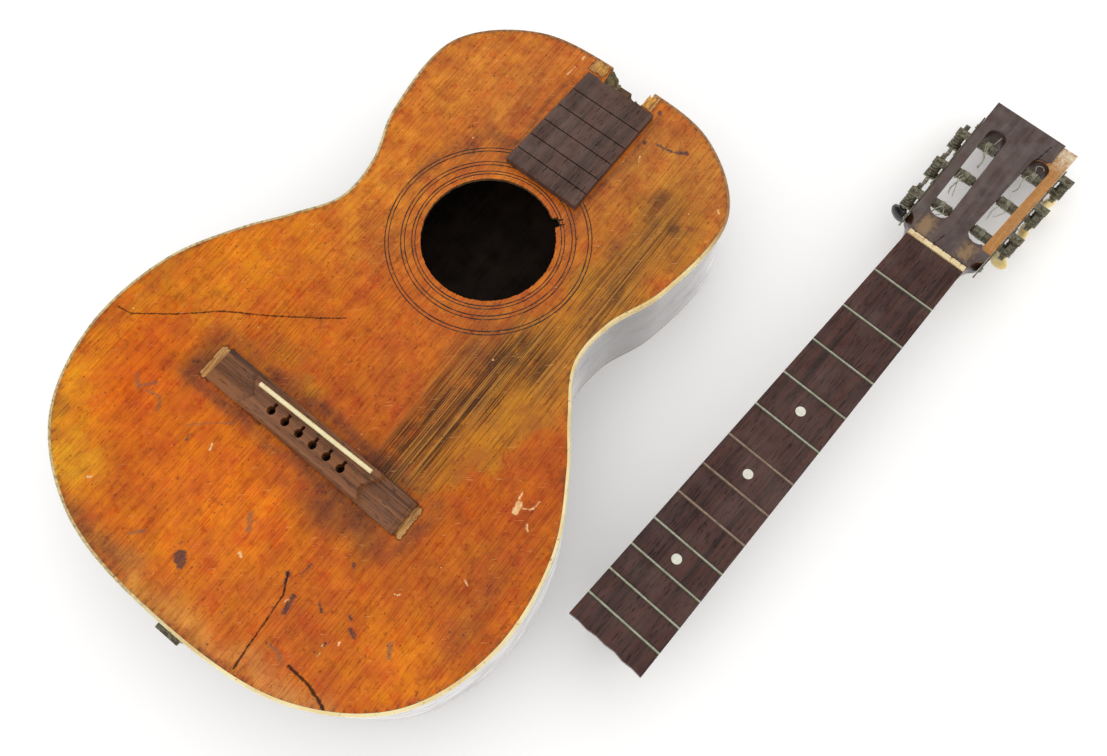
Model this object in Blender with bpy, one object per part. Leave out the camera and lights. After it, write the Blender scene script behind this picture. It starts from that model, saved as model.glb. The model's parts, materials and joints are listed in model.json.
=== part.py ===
"""Broken parlour guitar: a ladder-braced body, and the neck that has broken away from it.

The table is z = 0 and the flat back lies on it. +X is the treble side, +Y runs along the body
from the tail to the neck, and the origin is on the back, under the saddle line.
The soundboard slopes down towards the neck, so what it carries is built flat, measured from its
upper face, and hangs from an empty that has this slope, or from the string line's empty on it.
The neck hangs from an empty of its own at the nut, its head from one on the head's face, and
the tuners from one on each side of the head.
"""

from math import atan, cos, pi, radians, sin, tan

import bmesh
import bpy
import numpy as np
from mathutils import Matrix, Vector

MM = 0.001

# Clearances between pieces: a glued or loose joint, and a thin visible seat
GAP = 0.3 * MM
SEAT = 0.1 * MM

# Body outline
LOWER_BOUT = 323.0 * MM
WAIST = 189.0 * MM
UPPER_BOUT = 229.0 * MM
TAIL_Y = -142.0 * MM
NECK_END_Y = 313.5 * MM
OUTLINE_STEPS = 3

# Body depth, from the table to the upper face of the soundboard
DEPTH_TAIL = 87.8 * MM
DEPTH_NECK = 79.7 * MM

# Plates, sides and what joins them
TOP_THICKNESS = 2.8 * MM
BACK_THICKNESS = 2.8 * MM
RIB_THICKNESS = 2.0 * MM
BINDING_HEIGHT = 4.6 * MM
LINING_WIDTH = 6.0 * MM
LINING_HEIGHT = 12.0 * MM
NECK_BLOCK_WIDTH = 64.0 * MM
NECK_BLOCK_DEPTH = 34.0 * MM
TAIL_BLOCK_WIDTH = 66.0 * MM
TAIL_BLOCK_DEPTH = 18.0 * MM

# Braces under the top and on the back
BRACE_WIDTH = 8.0 * MM
BRACE_HEIGHT = 14.0 * MM
BRACE_TIP_HEIGHT = 3.0 * MM
BRACE_TIP_LENGTH = 32.0 * MM
BACK_BRACE_HEIGHT = 16.0 * MM
TOP_BRACES = (("top_brace_upper", 225.0 * MM), ("top_brace_middle", 98.0 * MM),
              ("top_brace_lower", -62.0 * MM))
BACK_BRACES = (("back_brace_upper", 240.0 * MM), ("back_brace_middle", 120.0 * MM),
               ("back_brace_lower", -40.0 * MM))

# Soundhole and rosette
HOLE_Y = 160.4 * MM
HOLE_RADIUS = 43.4 * MM
ROSETTE_RINGS = (("rosette_outer_ring", 64.6 * MM, 1.7 * MM), ("rosette_middle_ring", 54.2 * MM, 1.2 * MM),
                 ("rosette_inner_ring", 48.2 * MM, 1.2 * MM))
RING_DEPTH = 1.0 * MM
ROUND_STEPS = 40
BITE_ANGLE = radians(52)
BITE_WIDTH = 8.0 * MM
BITE_DEPTH = 5.0 * MM

# Torn notch where the neck was glued in
NOTCH_LEFT = -17.0 * MM
NOTCH_RIGHT = 15.5 * MM
NOTCH_FLOOR = 24.0 * MM
NOTCH_DEPTH = 16.0 * MM

# The string line, which the bridge and the neck joint stand on, runs a little off the body's middle
STRING_X = -1.6 * MM
STRING_YAW = radians(-1.4)

# Strings and frets
SCALE_LENGTH = 628.0 * MM
BODY_FRET = 12
BREAK_FRET = 13
LAST_FRET = 18
BOARD_END_Y = 210.7 * MM
BOARD_THICKNESS = 6.0 * MM
NUT_WIDTH = 42.8 * MM
TWELFTH_WIDTH = 53.4 * MM
FRET_CROWN = 2.2 * MM
FRET_HEIGHT = 1.0 * MM
FRET_TANG = 0.6 * MM
FRET_TANG_DEPTH = 1.6 * MM
DOTS = (("dot_fifth", 5), ("dot_seventh", 7), ("dot_tenth", 10))
DOT_RADIUS = 3.2 * MM
DOT_THICKNESS = 1.4 * MM

# Bridge
BRIDGE_LENGTH = 152.0 * MM
BRIDGE_FRONT_Y = 2.6 * MM
BRIDGE_WIDTH = 23.6 * MM
BRIDGE_WING_HEIGHT = 3.2 * MM
BRIDGE_BLOCK_LENGTH = 96.0 * MM
BRIDGE_BLOCK_HEIGHT = 7.6 * MM
SADDLE_LENGTH = 88.0 * MM
SADDLE_WIDTH = 2.6 * MM
SADDLE_HEIGHT = 7.4 * MM
SADDLE_SUNK = 4.4 * MM
SADDLE_Y = -2.6 * MM
SADDLE_SLANT = radians(1.4)
PIN_SPACING = 11.2 * MM
PIN_RADIUS = 2.5 * MM
PIN_Y = -11.4 * MM
STRING_SLOT_WIDTH = 1.6 * MM
STRING_SLOT_LENGTH = 4.6 * MM
BRIDGE_PLATE_LENGTH = 150.0 * MM
BRIDGE_PLATE_WIDTH = 34.0 * MM
BRIDGE_PLATE_THICKNESS = 2.6 * MM

# Metal bracket left at the tail
BRACKET_WIDTH = 17.0 * MM
BRACKET_HEIGHT = 24.0 * MM
BRACKET_THICKNESS = 1.4 * MM
BRACKET_LIP = 3.6 * MM

# Neck, lying beside the body on its heel stub and its tuner buttons
NUT_X = 229.2 * MM
NUT_Y = 336.5 * MM
NUT_HEIGHT = 57.5 * MM
NECK_YAW = radians(-3.98)
NUT_LENGTH = 5.2 * MM
NUT_PROUD = 1.2 * MM
SHAFT_DEPTH_NUT = 20.0 * MM
SHAFT_DEPTH_HEEL = 24.5 * MM
HEEL_LENGTH = 46.0 * MM
HEEL_WIDTH = 34.0 * MM
SHAFT_POINTS = 10

# Head
HEAD_PITCH = radians(11.5)
HEAD_DROP = 1.0 * MM
HEAD_LENGTH = 149.0 * MM
HEAD_TIP_WIDTH = 65.4 * MM
HEAD_LOW_WIDTH = 56.8 * MM
HEAD_LOW_S = 21.0 * MM
HEAD_THICKNESS = 15.0 * MM
VENEER_THICKNESS = 1.6 * MM
SLOT_WIDTH = 13.6 * MM
SLOT_LENGTH = 99.0 * MM
SLOT_MIDDLE = 76.5 * MM
SLOT_CENTRE_X = 16.2 * MM

# Tuners: three worms and gears on each plate
ROLLER_S = (44.0 * MM, 79.0 * MM, 114.0 * MM)
AXIS_DEPTH = 8.4 * MM
PLATE_LENGTH = 121.0 * MM
PLATE_HEIGHT = 11.6 * MM
PLATE_THICKNESS = 1.0 * MM
GEAR_TEETH = 12
WORM_PITCH = 2.7 * MM
TOOTH_ADDENDUM = 0.75 * MM
TOOTH_DEDENDUM = 1.05 * MM
TOOTH_WIDTH = 1.0 * MM
GEAR_WIDTH = 3.4 * MM
GEAR_MIDDLE = 6.0 * MM
WORM_PITCH_RADIUS = 3.0 * MM
WORM_CORE_RADIUS = 2.0 * MM
WORM_LENGTH = 11.4 * MM
WORM_STEPS = 12
MESH_PLAY = 0.1 * MM
ROLLER_RADIUS = 3.6 * MM
AXLE_RADIUS = 2.3 * MM
SHAFT_RADIUS = 1.5 * MM
EAR_THICKNESS = 1.6 * MM
EAR_WIDTH = 6.6 * MM
EAR_REACH = 9.6 * MM
BUTTON_LENGTH = 12.6 * MM
BUTTON_WIDTH = 15.0 * MM
BUTTON_FLAT = 6.6 * MM
BUTTON_BORE = 6.0 * MM
SHAFT_TAIL = 11.4 * MM

# Sizes worked out from the ones above
BODY_LENGTH = NECK_END_Y - TAIL_Y
TOP_SLOPE = atan((DEPTH_TAIL - DEPTH_NECK) / BODY_LENGTH)
SADDLE_DEPTH = DEPTH_TAIL + TAIL_Y * tan(TOP_SLOPE)
GEAR_RADIUS = GEAR_TEETH * WORM_PITCH / (2 * pi)
WORM_OFFSET = GEAR_RADIUS + WORM_PITCH_RADIUS + MESH_PLAY
WORM_TOWARD = {"bass": -1, "treble": 1}     # -1: on the nut's side of its gear, 1: on the tip's side
SIDE_ANGLE = atan((HEAD_TIP_WIDTH - HEAD_LOW_WIDTH) / 2 / (HEAD_LENGTH - HEAD_LOW_S))
SIDES = (("bass", -1), ("treble", 1))
STRING_PLACE = Matrix.Translation((STRING_X, 0, 0)) @ Matrix.Rotation(STRING_YAW, 4, "Z")
NOTCH_SHIFT = STRING_X - NECK_END_Y * tan(STRING_YAW)
NOTCH_EDGES = {"bass": -NOTCH_LEFT - NOTCH_SHIFT, "treble": NOTCH_RIGHT + NOTCH_SHIFT}

# Each station of the half outline: share of a bout's half width, the bout, share of the length
STATIONS = ((0.0, LOWER_BOUT, 0.0), (0.530, LOWER_BOUT, 0.0235), (0.863, LOWER_BOUT, 0.104),
            (1.0, LOWER_BOUT, 0.228), (0.963, LOWER_BOUT, 0.3655), (0.819, LOWER_BOUT, 0.466),
            (0.698, LOWER_BOUT, 0.526), (1.010, WAIST, 0.5906), (1.020, WAIST, 0.6588),
            (0.966, UPPER_BOUT, 0.7455), (0.984, UPPER_BOUT, 0.8964), (0.604, UPPER_BOUT, 0.984),
            (0.0, UPPER_BOUT, 1.0))

FINISHES = {
    "spruce_top": ((0.50, 0.16, 0.035), 0.35, 0.0),
    "dark_ribs": ((0.045, 0.025, 0.02), 0.25, 0.0),
    "cream_binding": ((0.80, 0.66, 0.36), 0.4, 0.0),
    "rosette_black": ((0.03, 0.02, 0.015), 0.5, 0.0),
    "raw_wood": ((0.45, 0.28, 0.14), 0.8, 0.0),
    "fingerboard": ((0.075, 0.04, 0.03), 0.5, 0.0),
    "bridge_wood": ((0.085, 0.035, 0.02), 0.55, 0.0),
    "bone": ((0.80, 0.70, 0.46), 0.4, 0.0),
    "fret_metal": ((0.55, 0.53, 0.40), 0.4, 1.0),
    "pearl": ((0.70, 0.72, 0.60), 0.3, 0.0),
    "neck_wood": ((0.16, 0.07, 0.035), 0.4, 0.0),
    "tuner_metal": ((0.14, 0.12, 0.08), 0.5, 1.0),
    "button_cream": ((0.82, 0.62, 0.22), 0.35, 0.0),
    "button_black": ((0.02, 0.02, 0.02), 0.25, 0.0),
}


def clear_scene():
    """Remove every object that is there at the start."""
    for thing in list(bpy.data.objects):
        bpy.data.objects.remove(thing, do_unlink=True)


def finish(name):
    """The Principled material of a finish, made once."""
    material = bpy.data.materials.get(name)
    if material is None:
        colour, roughness, metallic = FINISHES[name]
        material = bpy.data.materials.new(name)
        material.use_nodes = True
        shader = material.node_tree.nodes["Principled BSDF"]
        shader.inputs["Base Color"].default_value = (*colour, 1.0)
        shader.inputs["Roughness"].default_value = roughness
        shader.inputs["Metallic"].default_value = metallic
        material.diffuse_color = (*colour, 1.0)
    return material


def empty(name, matrix, parent=None):
    """A frame that pieces hang from; matrix is in its parent's frame."""
    frame = bpy.data.objects.new(name, None)
    bpy.context.collection.objects.link(frame)
    frame.parent = parent
    frame.matrix_local = matrix
    return frame


def mesh_object(name, verts, faces, finish_name=None, parent=None, matrix=None, smooth=False):
    """One closed body as an object: doubles merged and faces turned outwards."""
    mesh = bpy.data.meshes.new(name)
    mesh.from_pydata([tuple(float(c) for c in v) for v in verts], [], faces)
    work = bmesh.new()
    work.from_mesh(mesh)
    bmesh.ops.remove_doubles(work, verts=work.verts, dist=1e-6)
    bmesh.ops.recalc_face_normals(work, faces=work.faces)
    work.to_mesh(mesh)
    work.free()
    if smooth:
        mesh.shade_smooth()
        mesh.set_sharp_from_angle(angle=radians(35))
    thing = bpy.data.objects.new(name, mesh)
    bpy.context.collection.objects.link(thing)
    thing.parent = parent
    if matrix is not None:
        thing.matrix_local = matrix
    if finish_name:
        mesh.materials.append(finish(finish_name))
    return thing


def boolean(thing, shapes, parent=None, operation="DIFFERENCE", matrix=None):
    """Cut the joined shapes from a piece, or add them to it, with one Boolean."""
    verts, faces = joined(shapes)
    tool = mesh_object(thing.name + "_" + operation.lower(), verts, faces, parent=parent, matrix=matrix)
    tool.hide_render = True
    tool.display_type = "WIRE"
    change = thing.modifiers.new(operation.lower(), "BOOLEAN")
    change.operation = operation
    change.solver = "EXACT"
    change.object = tool
    return tool


def joined(shapes):
    """Several (verts, faces) shapes as one."""
    verts, faces = [], []
    for shape_verts, shape_faces in shapes:
        base = len(verts)
        verts.extend(shape_verts)
        faces.extend([tuple(i + base for i in face) for face in shape_faces])
    return verts, faces


def loft(sections, ring=False):
    """Faces between loops of equal length; the ends are capped, or joined in a ring."""
    count = len(sections[0])
    verts = [point for section in sections for point in section]
    spans = len(sections) if ring else len(sections) - 1
    faces = []
    for i in range(spans):
        here, there = i * count, ((i + 1) % len(sections)) * count
        for j in range(count):
            k = (j + 1) % count
            faces.append((here + j, here + k, there + k, there + j))
    if not ring:
        faces.append(tuple(range(count)))
        faces.append(tuple(range(spans * count, (spans + 1) * count)))
    return verts, faces


def prism(loop, low, high):
    """A flat outline raised from low to high; each is a height or a function of x and y."""
    below = low if callable(low) else (lambda x, y: low)
    above = high if callable(high) else (lambda x, y: high)
    return loft([[(x, y, below(x, y)) for x, y in loop], [(x, y, above(x, y)) for x, y in loop]])


def box(low, high):
    """A box between two corners."""
    return prism([(low[0], low[1]), (high[0], low[1]), (high[0], high[1]), (low[0], high[1])],
                 low[2], high[2])


def turned(profile, steps=ROUND_STEPS, stretch=(1.0, 1.0), middle=(0.0, 0.0)):
    """A profile of (radius, height) turned about Z; radius 0 at an end closes it."""
    sections = []
    for radius, height in profile:
        r = max(radius, 1e-9)
        sections.append([(middle[0] + r * cos(2 * pi * j / steps) * stretch[0],
                          middle[1] + r * sin(2 * pi * j / steps) * stretch[1], height)
                         for j in range(steps)])
    return sections


def turned_solid(profile, steps=ROUND_STEPS, stretch=(1.0, 1.0), middle=(0.0, 0.0)):
    """A turned body whose profile begins and ends on the axis."""
    return loft(turned(profile, steps, stretch, middle))


def turned_ring(profile, steps=ROUND_STEPS, middle=(0.0, 0.0)):
    """A turned body whose closed profile stays off the axis."""
    return loft(turned(profile, steps, middle=middle), ring=True)


def cylinder(radius, low, high, steps=12, middle=(0.0, 0.0)):
    """An upright cylinder."""
    return loft(turned([(radius, low), (radius, high)], steps, middle=middle))


def moved(shape, matrix):
    """A shape with its points taken through a matrix."""
    return [tuple(matrix @ Vector(v)) for v in shape[0]], shape[1]


def smooth_curve(points, steps):
    """A curve through the points, each span with the slope of its neighbours' chord."""
    points = np.asarray(points, dtype=float)
    chord = np.sqrt(np.linalg.norm(np.diff(points, axis=0), axis=1))
    knots = np.concatenate(([0.0], np.cumsum(chord)))
    curve = []
    for i in range(1, len(points) - 2):
        a, b, c, d = points[i - 1:i + 3]
        t0, t1, t2, t3 = knots[i - 1:i + 3]
        for t in np.linspace(t1, t2, steps, endpoint=False):
            ab = a * (t1 - t) / (t1 - t0) + b * (t - t0) / (t1 - t0)
            bc = b * (t2 - t) / (t2 - t1) + c * (t - t1) / (t2 - t1)
            cd = c * (t3 - t) / (t3 - t2) + d * (t - t2) / (t3 - t2)
            abc = ab * (t2 - t) / (t2 - t0) + bc * (t - t0) / (t2 - t0)
            bcd = bc * (t3 - t) / (t3 - t1) + cd * (t - t1) / (t3 - t1)
            curve.append(abc * (t2 - t) / (t2 - t1) + bcd * (t - t1) / (t2 - t1))
    curve.append(points[-2])
    return np.array(curve)


def half_outline():
    """The treble half of the body's outline, from the tail to the neck end."""
    points = [(share * bout / 2, TAIL_Y + along * BODY_LENGTH) for share, bout, along in STATIONS]
    before = (-points[1][0], points[1][1])
    after = (-points[-2][0], points[-2][1])
    return smooth_curve([before, *points, after], OUTLINE_STEPS)


def body_loop(inset):
    """The whole outline as a loop that starts at the tail, moved inwards by inset."""
    right = half_outline()
    left = right[1:-1][::-1] * (-1.0, 1.0)
    loop = np.vstack((right, left))
    along = np.roll(loop, -1, axis=0) - np.roll(loop, 1, axis=0)
    along /= np.linalg.norm(along, axis=1)[:, None]
    inward = np.column_stack((-along[:, 1], along[:, 0]))
    return loop + inward * inset


def half_loop(inset, side):
    """One half of the inset outline, from the tail to the neck end, on the side given."""
    count = len(half_outline())
    return body_loop(inset)[:count] * (side, 1.0)


def loop_point(points, x):
    """The last point of a half loop where it crosses |x| = x near the neck end."""
    for a, b in zip(points[::-1][:-1], points[::-1][1:]):
        if abs(a[0]) <= x <= abs(b[0]):
            share = (x - abs(a[0])) / (abs(b[0]) - abs(a[0]))
            return a + (b - a) * share
    return points[-1]


def trimmed(points, tail_x, neck_x):
    """A half loop cut off at |x| = tail_x by the tail and |x| = neck_x by the neck."""
    side = np.sign(points[len(points) // 2][0])
    kept = [p for p in points if (p[1] > 0 or abs(p[0]) > tail_x) and (p[1] < 0 or abs(p[0]) > neck_x)]
    start = points[0].copy()
    start[0] = side * tail_x
    end = loop_point(points, neck_x)
    return np.array([start, *kept, end])


def half_width(inset, y):
    """Half the body's width at y, inside the inset outline."""
    points = half_loop(inset, 1)
    widths = []
    for a, b in zip(points[:-1], points[1:]):
        if min(a[1], b[1]) <= y <= max(a[1], b[1]) and a[1] != b[1]:
            widths.append(a[0] + (b[0] - a[0]) * (y - a[1]) / (b[1] - a[1]))
    return min(widths)


def fret_distance(fret):
    """Distance of a fret from the saddle line."""
    return SCALE_LENGTH / 2 ** (fret / 12)


def board_half_width(distance):
    """Half the fingerboard's width at a distance from the saddle line."""
    share = (SCALE_LENGTH - distance) / (SCALE_LENGTH / 2)
    return (NUT_WIDTH + (TWELFTH_WIDTH - NUT_WIDTH) * share) / 2


def broken_edge(left, right, y, teeth):
    """A torn edge from left to right at y; teeth are the lengths of its splinters."""
    xs = np.linspace(left, right, len(teeth))
    return [(x, y + tooth) for x, tooth in zip(xs, teeth)]


def top_height(y):
    """Height of the soundboard's upper face above the table."""
    return SADDLE_DEPTH - y * tan(TOP_SLOPE)


def top_frame():
    """The frame of the soundboard's upper face, at the saddle line."""
    slope = Matrix.Rotation(-TOP_SLOPE, 4, "X")
    return empty("top_face", Matrix.Translation((0, 0, SADDLE_DEPTH)) @ slope)


def notch_loop(margin=0.0):
    """The torn notch seen from above, open at the neck end."""
    back = NECK_END_Y - NOTCH_DEPTH - margin
    front = NECK_END_Y + 10 * MM
    teeth = (0.0, 0.6 * MM, -0.3 * MM, 0.4 * MM, 0.0)
    torn = broken_edge(NOTCH_LEFT - margin, NOTCH_RIGHT + margin, back, teeth)
    return [(NOTCH_RIGHT + margin, front), (NOTCH_LEFT - margin, front), *torn]


def pin_places():
    """Where the six bridge pins stood."""
    return [((i - 2.5) * PIN_SPACING, PIN_Y) for i in range(6)]


def make_soundboard(top, strings):
    """Spruce plate with the soundhole, the bite in its edge, ring channels and the torn notch."""
    loop = body_loop(RIB_THICKNESS + SEAT)
    board = mesh_object("soundboard", *prism(loop, -TOP_THICKNESS, 0.0), "spruce_top", top)
    over = 1 * MM
    hole = cylinder(HOLE_RADIUS, -TOP_THICKNESS - over, over, ROUND_STEPS, (0.0, HOLE_Y))
    bite_at = Vector((cos(BITE_ANGLE), sin(BITE_ANGLE))) * HOLE_RADIUS
    turn = Matrix.Translation((bite_at.x, HOLE_Y + bite_at.y, 0)) @ Matrix.Rotation(BITE_ANGLE, 4, "Z")
    ragged = [(-2 * BITE_DEPTH, -BITE_WIDTH / 2), (BITE_DEPTH * 0.6, -BITE_WIDTH / 2),
              (BITE_DEPTH, -BITE_WIDTH * 0.1), (BITE_DEPTH * 0.5, BITE_WIDTH * 0.3),
              (BITE_DEPTH * 0.2, BITE_WIDTH / 2), (-2 * BITE_DEPTH, BITE_WIDTH / 2)]
    bite = moved(prism(ragged, -TOP_THICKNESS - over, over), turn)
    boolean(board, [hole], top)
    boolean(board, [bite], top)
    channels = []
    for name, radius, width in ROSETTE_RINGS:
        half = width / 2 + SEAT
        channels.append(turned_ring([(radius - half, -RING_DEPTH - SEAT), (radius + half, -RING_DEPTH - SEAT),
                                     (radius + half, over), (radius - half, over)], middle=(0.0, HOLE_Y)))
    boolean(board, channels, top)
    notch = prism(notch_loop(), -TOP_THICKNESS - over, over)
    pins = [cylinder(PIN_RADIUS, -TOP_THICKNESS - over, over, 12, place) for place in pin_places()]
    boolean(board, [notch, *pins], strings)


def make_rosette(top):
    """Three black rings let into the soundboard."""
    for name, radius, width in ROSETTE_RINGS:
        half = width / 2
        ring = turned_ring([(radius - half, -RING_DEPTH), (radius + half, -RING_DEPTH),
                            (radius + half, 0.0), (radius - half, 0.0)], middle=(0.0, HOLE_Y))
        mesh_object(name, *ring, "rosette_black", top)


def make_back():
    """Flat back plate."""
    mesh_object("back", *prism(body_loop(0.0), 0.0, BACK_THICKNESS), "dark_ribs")


def strip(outer, inner, low, high):
    """A bent strip between two paths; low and high are functions of x and y."""
    sections = []
    for (ox, oy), (ix, iy) in zip(outer, inner):
        sections.append([(ox, oy, low(ox, oy)), (ox, oy, high(ox, oy)),
                         (ix, iy, high(ix, iy)), (ix, iy, low(ix, iy))])
    return loft(sections)


def make_ribs():
    """Bent sides, which meet at the tail and stop at the torn notch."""
    def low(x, y):
        return BACK_THICKNESS + GAP

    def high(x, y):
        return top_height(y) - BINDING_HEIGHT - SEAT

    for name, side in SIDES:
        stop = NOTCH_EDGES[name]
        outer = trimmed(half_loop(0.0, side), GAP / 2, stop)
        inner = trimmed(half_loop(RIB_THICKNESS, side), GAP / 2, stop)
        mesh_object("rib_" + name, *strip(outer, inner, low, high), "dark_ribs")


def make_binding(top):
    """Cream strip in the rebate round the top's edge, broken off at the notch."""
    def low(x, y):
        return -BINDING_HEIGHT

    def high(x, y):
        return 0.0

    outer_loop, inner_loop = body_loop(0.0), body_loop(RIB_THICKNESS)
    sides = []
    for loop in (outer_loop, inner_loop):
        count = len(half_outline())
        right = trimmed(loop[:count], 0.0, NOTCH_EDGES["treble"])
        left = trimmed(loop[:count] * (-1.0, 1.0), 0.0, NOTCH_EDGES["bass"])
        sides.append(np.vstack((left[::-1], right[1:])))
    mesh_object("top_binding", *strip(sides[0], sides[1], low, high), "cream_binding", top)


def make_linings():
    """Strips that glue the plates to the ribs, from the neck block round the tail."""
    def top_low(x, y):
        return top_height(y) - TOP_THICKNESS - GAP - LINING_HEIGHT

    def top_high(x, y):
        return top_height(y) - TOP_THICKNESS - GAP

    def back_low(x, y):
        return BACK_THICKNESS + GAP

    def back_high(x, y):
        return BACK_THICKNESS + GAP + LINING_HEIGHT

    stop = NECK_BLOCK_WIDTH / 2 + GAP
    start = RIB_THICKNESS + GAP
    paths = []
    for inset in (start, start + LINING_WIDTH):
        right = trimmed(half_loop(inset, 1), 0.0, stop)
        left = trimmed(half_loop(inset, -1), 0.0, stop)
        paths.append(np.vstack((left[::-1], right[1:])))
    mesh_object("top_lining", *strip(paths[0], paths[1], top_low, top_high), "raw_wood")
    mesh_object("back_lining", *strip(paths[0], paths[1], back_low, back_high), "raw_wood")


def block_loop(half, depth, at_neck):
    """A block's plan: the rib's curve outside, straight ends and a straight inner face."""
    points = half_loop(RIB_THICKNESS + GAP, 1)
    near = [p for p in points if abs(p[0]) < half and (p[1] > 0) == at_neck]
    near.sort(key=lambda p: p[0])
    edge = loop_point(points, half) if at_neck else loop_point(points[::-1], half)
    right = [tuple(p) for p in near] + [tuple(edge)]
    left = [(-x, y) for x, y in right[::-1] if x > 1e-6]
    end = NECK_END_Y - RIB_THICKNESS - depth if at_neck else TAIL_Y + RIB_THICKNESS + depth
    return left + right + [(half, end), (-half, end)]


def make_neck_block():
    """End block with the socket of the neck joint torn open, one cheek split away."""
    def high(x, y):
        return top_height(y) - TOP_THICKNESS - GAP

    loop = block_loop(NECK_BLOCK_WIDTH / 2, NECK_BLOCK_DEPTH, True)
    block = mesh_object("neck_block", *prism(loop, BACK_THICKNESS + GAP, high), "raw_wood")
    back = NECK_END_Y - NOTCH_DEPTH
    front = NECK_END_Y + 10 * MM
    socket = [(NOTCH_RIGHT, front), (1 * MM, front), (-1 * MM, back + 3 * MM), (-4 * MM, back - 1 * MM),
              (NOTCH_RIGHT * 0.6, back - 3 * MM), (NOTCH_RIGHT, back)]
    roof = top_height(0.0) + 10 * MM
    torn = [(2 * MM, front), (NOTCH_LEFT, front), (NOTCH_LEFT, back + 5 * MM), (-9 * MM, back + 1 * MM),
            (1 * MM, back + 2 * MM)]
    boolean(block, [prism(socket, NOTCH_FLOOR, roof)], matrix=STRING_PLACE)
    boolean(block, [prism(torn, lambda x, y: top_height(y) - 14 * MM + (NECK_END_Y - y) * 0.35, roof)],
            matrix=STRING_PLACE)


def make_tail_block():
    """Block at the tail, rebated over both linings."""
    def high(x, y):
        return top_height(y) - TOP_THICKNESS - GAP

    loop = block_loop(TAIL_BLOCK_WIDTH / 2, TAIL_BLOCK_DEPTH, False)
    block = mesh_object("tail_block", *prism(loop, BACK_THICKNESS + GAP, high), "raw_wood")
    count = len(half_outline())
    paths = []
    for inset in (RIB_THICKNESS - 1 * MM, RIB_THICKNESS + LINING_WIDTH + 2 * GAP):
        loop = body_loop(inset)
        paths.append(np.vstack((loop[count + count // 2:], loop[:count // 2])))
    deep = LINING_HEIGHT + 2 * GAP
    rebate_low = strip(paths[0], paths[1], lambda x, y: -5 * MM, lambda x, y: BACK_THICKNESS + deep)
    rebate_high = strip(paths[0], paths[1], lambda x, y: top_height(y) - TOP_THICKNESS - deep,
                        lambda x, y: top_height(y) + 5 * MM)
    boolean(block, [rebate_low, rebate_high])


def bar(length, width, height, tip_height, tip_length):
    """A brace along X on z = 0, planed down towards both ends."""
    half = length / 2
    profile = [(-half, 0.0), (half, 0.0), (half, tip_height), (half - tip_length * 0.5, height * 0.62),
               (half - tip_length, height), (tip_length - half, height),
               (tip_length * 0.5 - half, height * 0.62), (-half, tip_height)]
    return loft([[(x, -width / 2, z) for x, z in profile], [(x, width / 2, z) for x, z in profile]])


def make_braces(top, strings):
    """Ladder braces across the top and the back, and the bridge plate."""
    clear = RIB_THICKNESS + LINING_WIDTH + 3 * GAP
    flip = Matrix.Rotation(pi, 4, "Y")
    for name, y in TOP_BRACES:
        narrow = min(half_width(clear, y - BRACE_WIDTH / 2), half_width(clear, y + BRACE_WIDTH / 2))
        shape = bar(2 * narrow - GAP, BRACE_WIDTH, BRACE_HEIGHT, BRACE_TIP_HEIGHT, BRACE_TIP_LENGTH)
        place = Matrix.Translation((0, y, -TOP_THICKNESS - GAP)) @ flip
        mesh_object(name, *shape, "raw_wood", top, place)
    for name, y in BACK_BRACES:
        narrow = min(half_width(clear, y - BRACE_WIDTH / 2), half_width(clear, y + BRACE_WIDTH / 2))
        shape = bar(2 * narrow - GAP, BRACE_WIDTH, BACK_BRACE_HEIGHT, BRACE_TIP_HEIGHT, BRACE_TIP_LENGTH)
        mesh_object(name, *shape, "raw_wood", None, Matrix.Translation((0, y, BACK_THICKNESS + GAP)))
    high = -TOP_THICKNESS - GAP
    half = BRIDGE_PLATE_LENGTH / 2
    plate = box((-half, PIN_Y - BRIDGE_PLATE_WIDTH / 2, high - BRIDGE_PLATE_THICKNESS),
                (half, PIN_Y + BRIDGE_PLATE_WIDTH / 2, high))
    plate = mesh_object("bridge_plate", *plate, "raw_wood", strings)
    over = 1 * MM
    pins = [cylinder(PIN_RADIUS, high - BRIDGE_PLATE_THICKNESS - over, high + over, 12, place)
            for place in pin_places()]
    boolean(plate, pins, strings)


def make_extension(strings):
    """The end of the fingerboard that stayed on the body, torn at one slot and cut by five."""
    torn_y = fret_distance(BREAK_FRET)
    wide, narrow = board_half_width(BOARD_END_Y), board_half_width(torn_y)
    teeth = [t * MM for t in (0.0, -0.5, 0.4, -0.9, 0.3, -0.2, -1.1, 0.2, 0.0)]
    loop = [(-wide, BOARD_END_Y), (wide, BOARD_END_Y), *broken_edge(narrow, -narrow, torn_y, teeth)]
    board = mesh_object("fingerboard_extension", *prism(loop, SEAT, BOARD_THICKNESS), "fingerboard",
                        strings)
    half_slot = FRET_TANG / 2 + SEAT
    slots = [box((-wide - 1 * MM, fret_distance(n) - half_slot, BOARD_THICKNESS - FRET_TANG_DEPTH - GAP),
                 (wide + 1 * MM, fret_distance(n) + half_slot, BOARD_THICKNESS + 1 * MM))
             for n in range(BREAK_FRET + 1, LAST_FRET + 1)]
    boolean(board, slots, strings)


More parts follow.
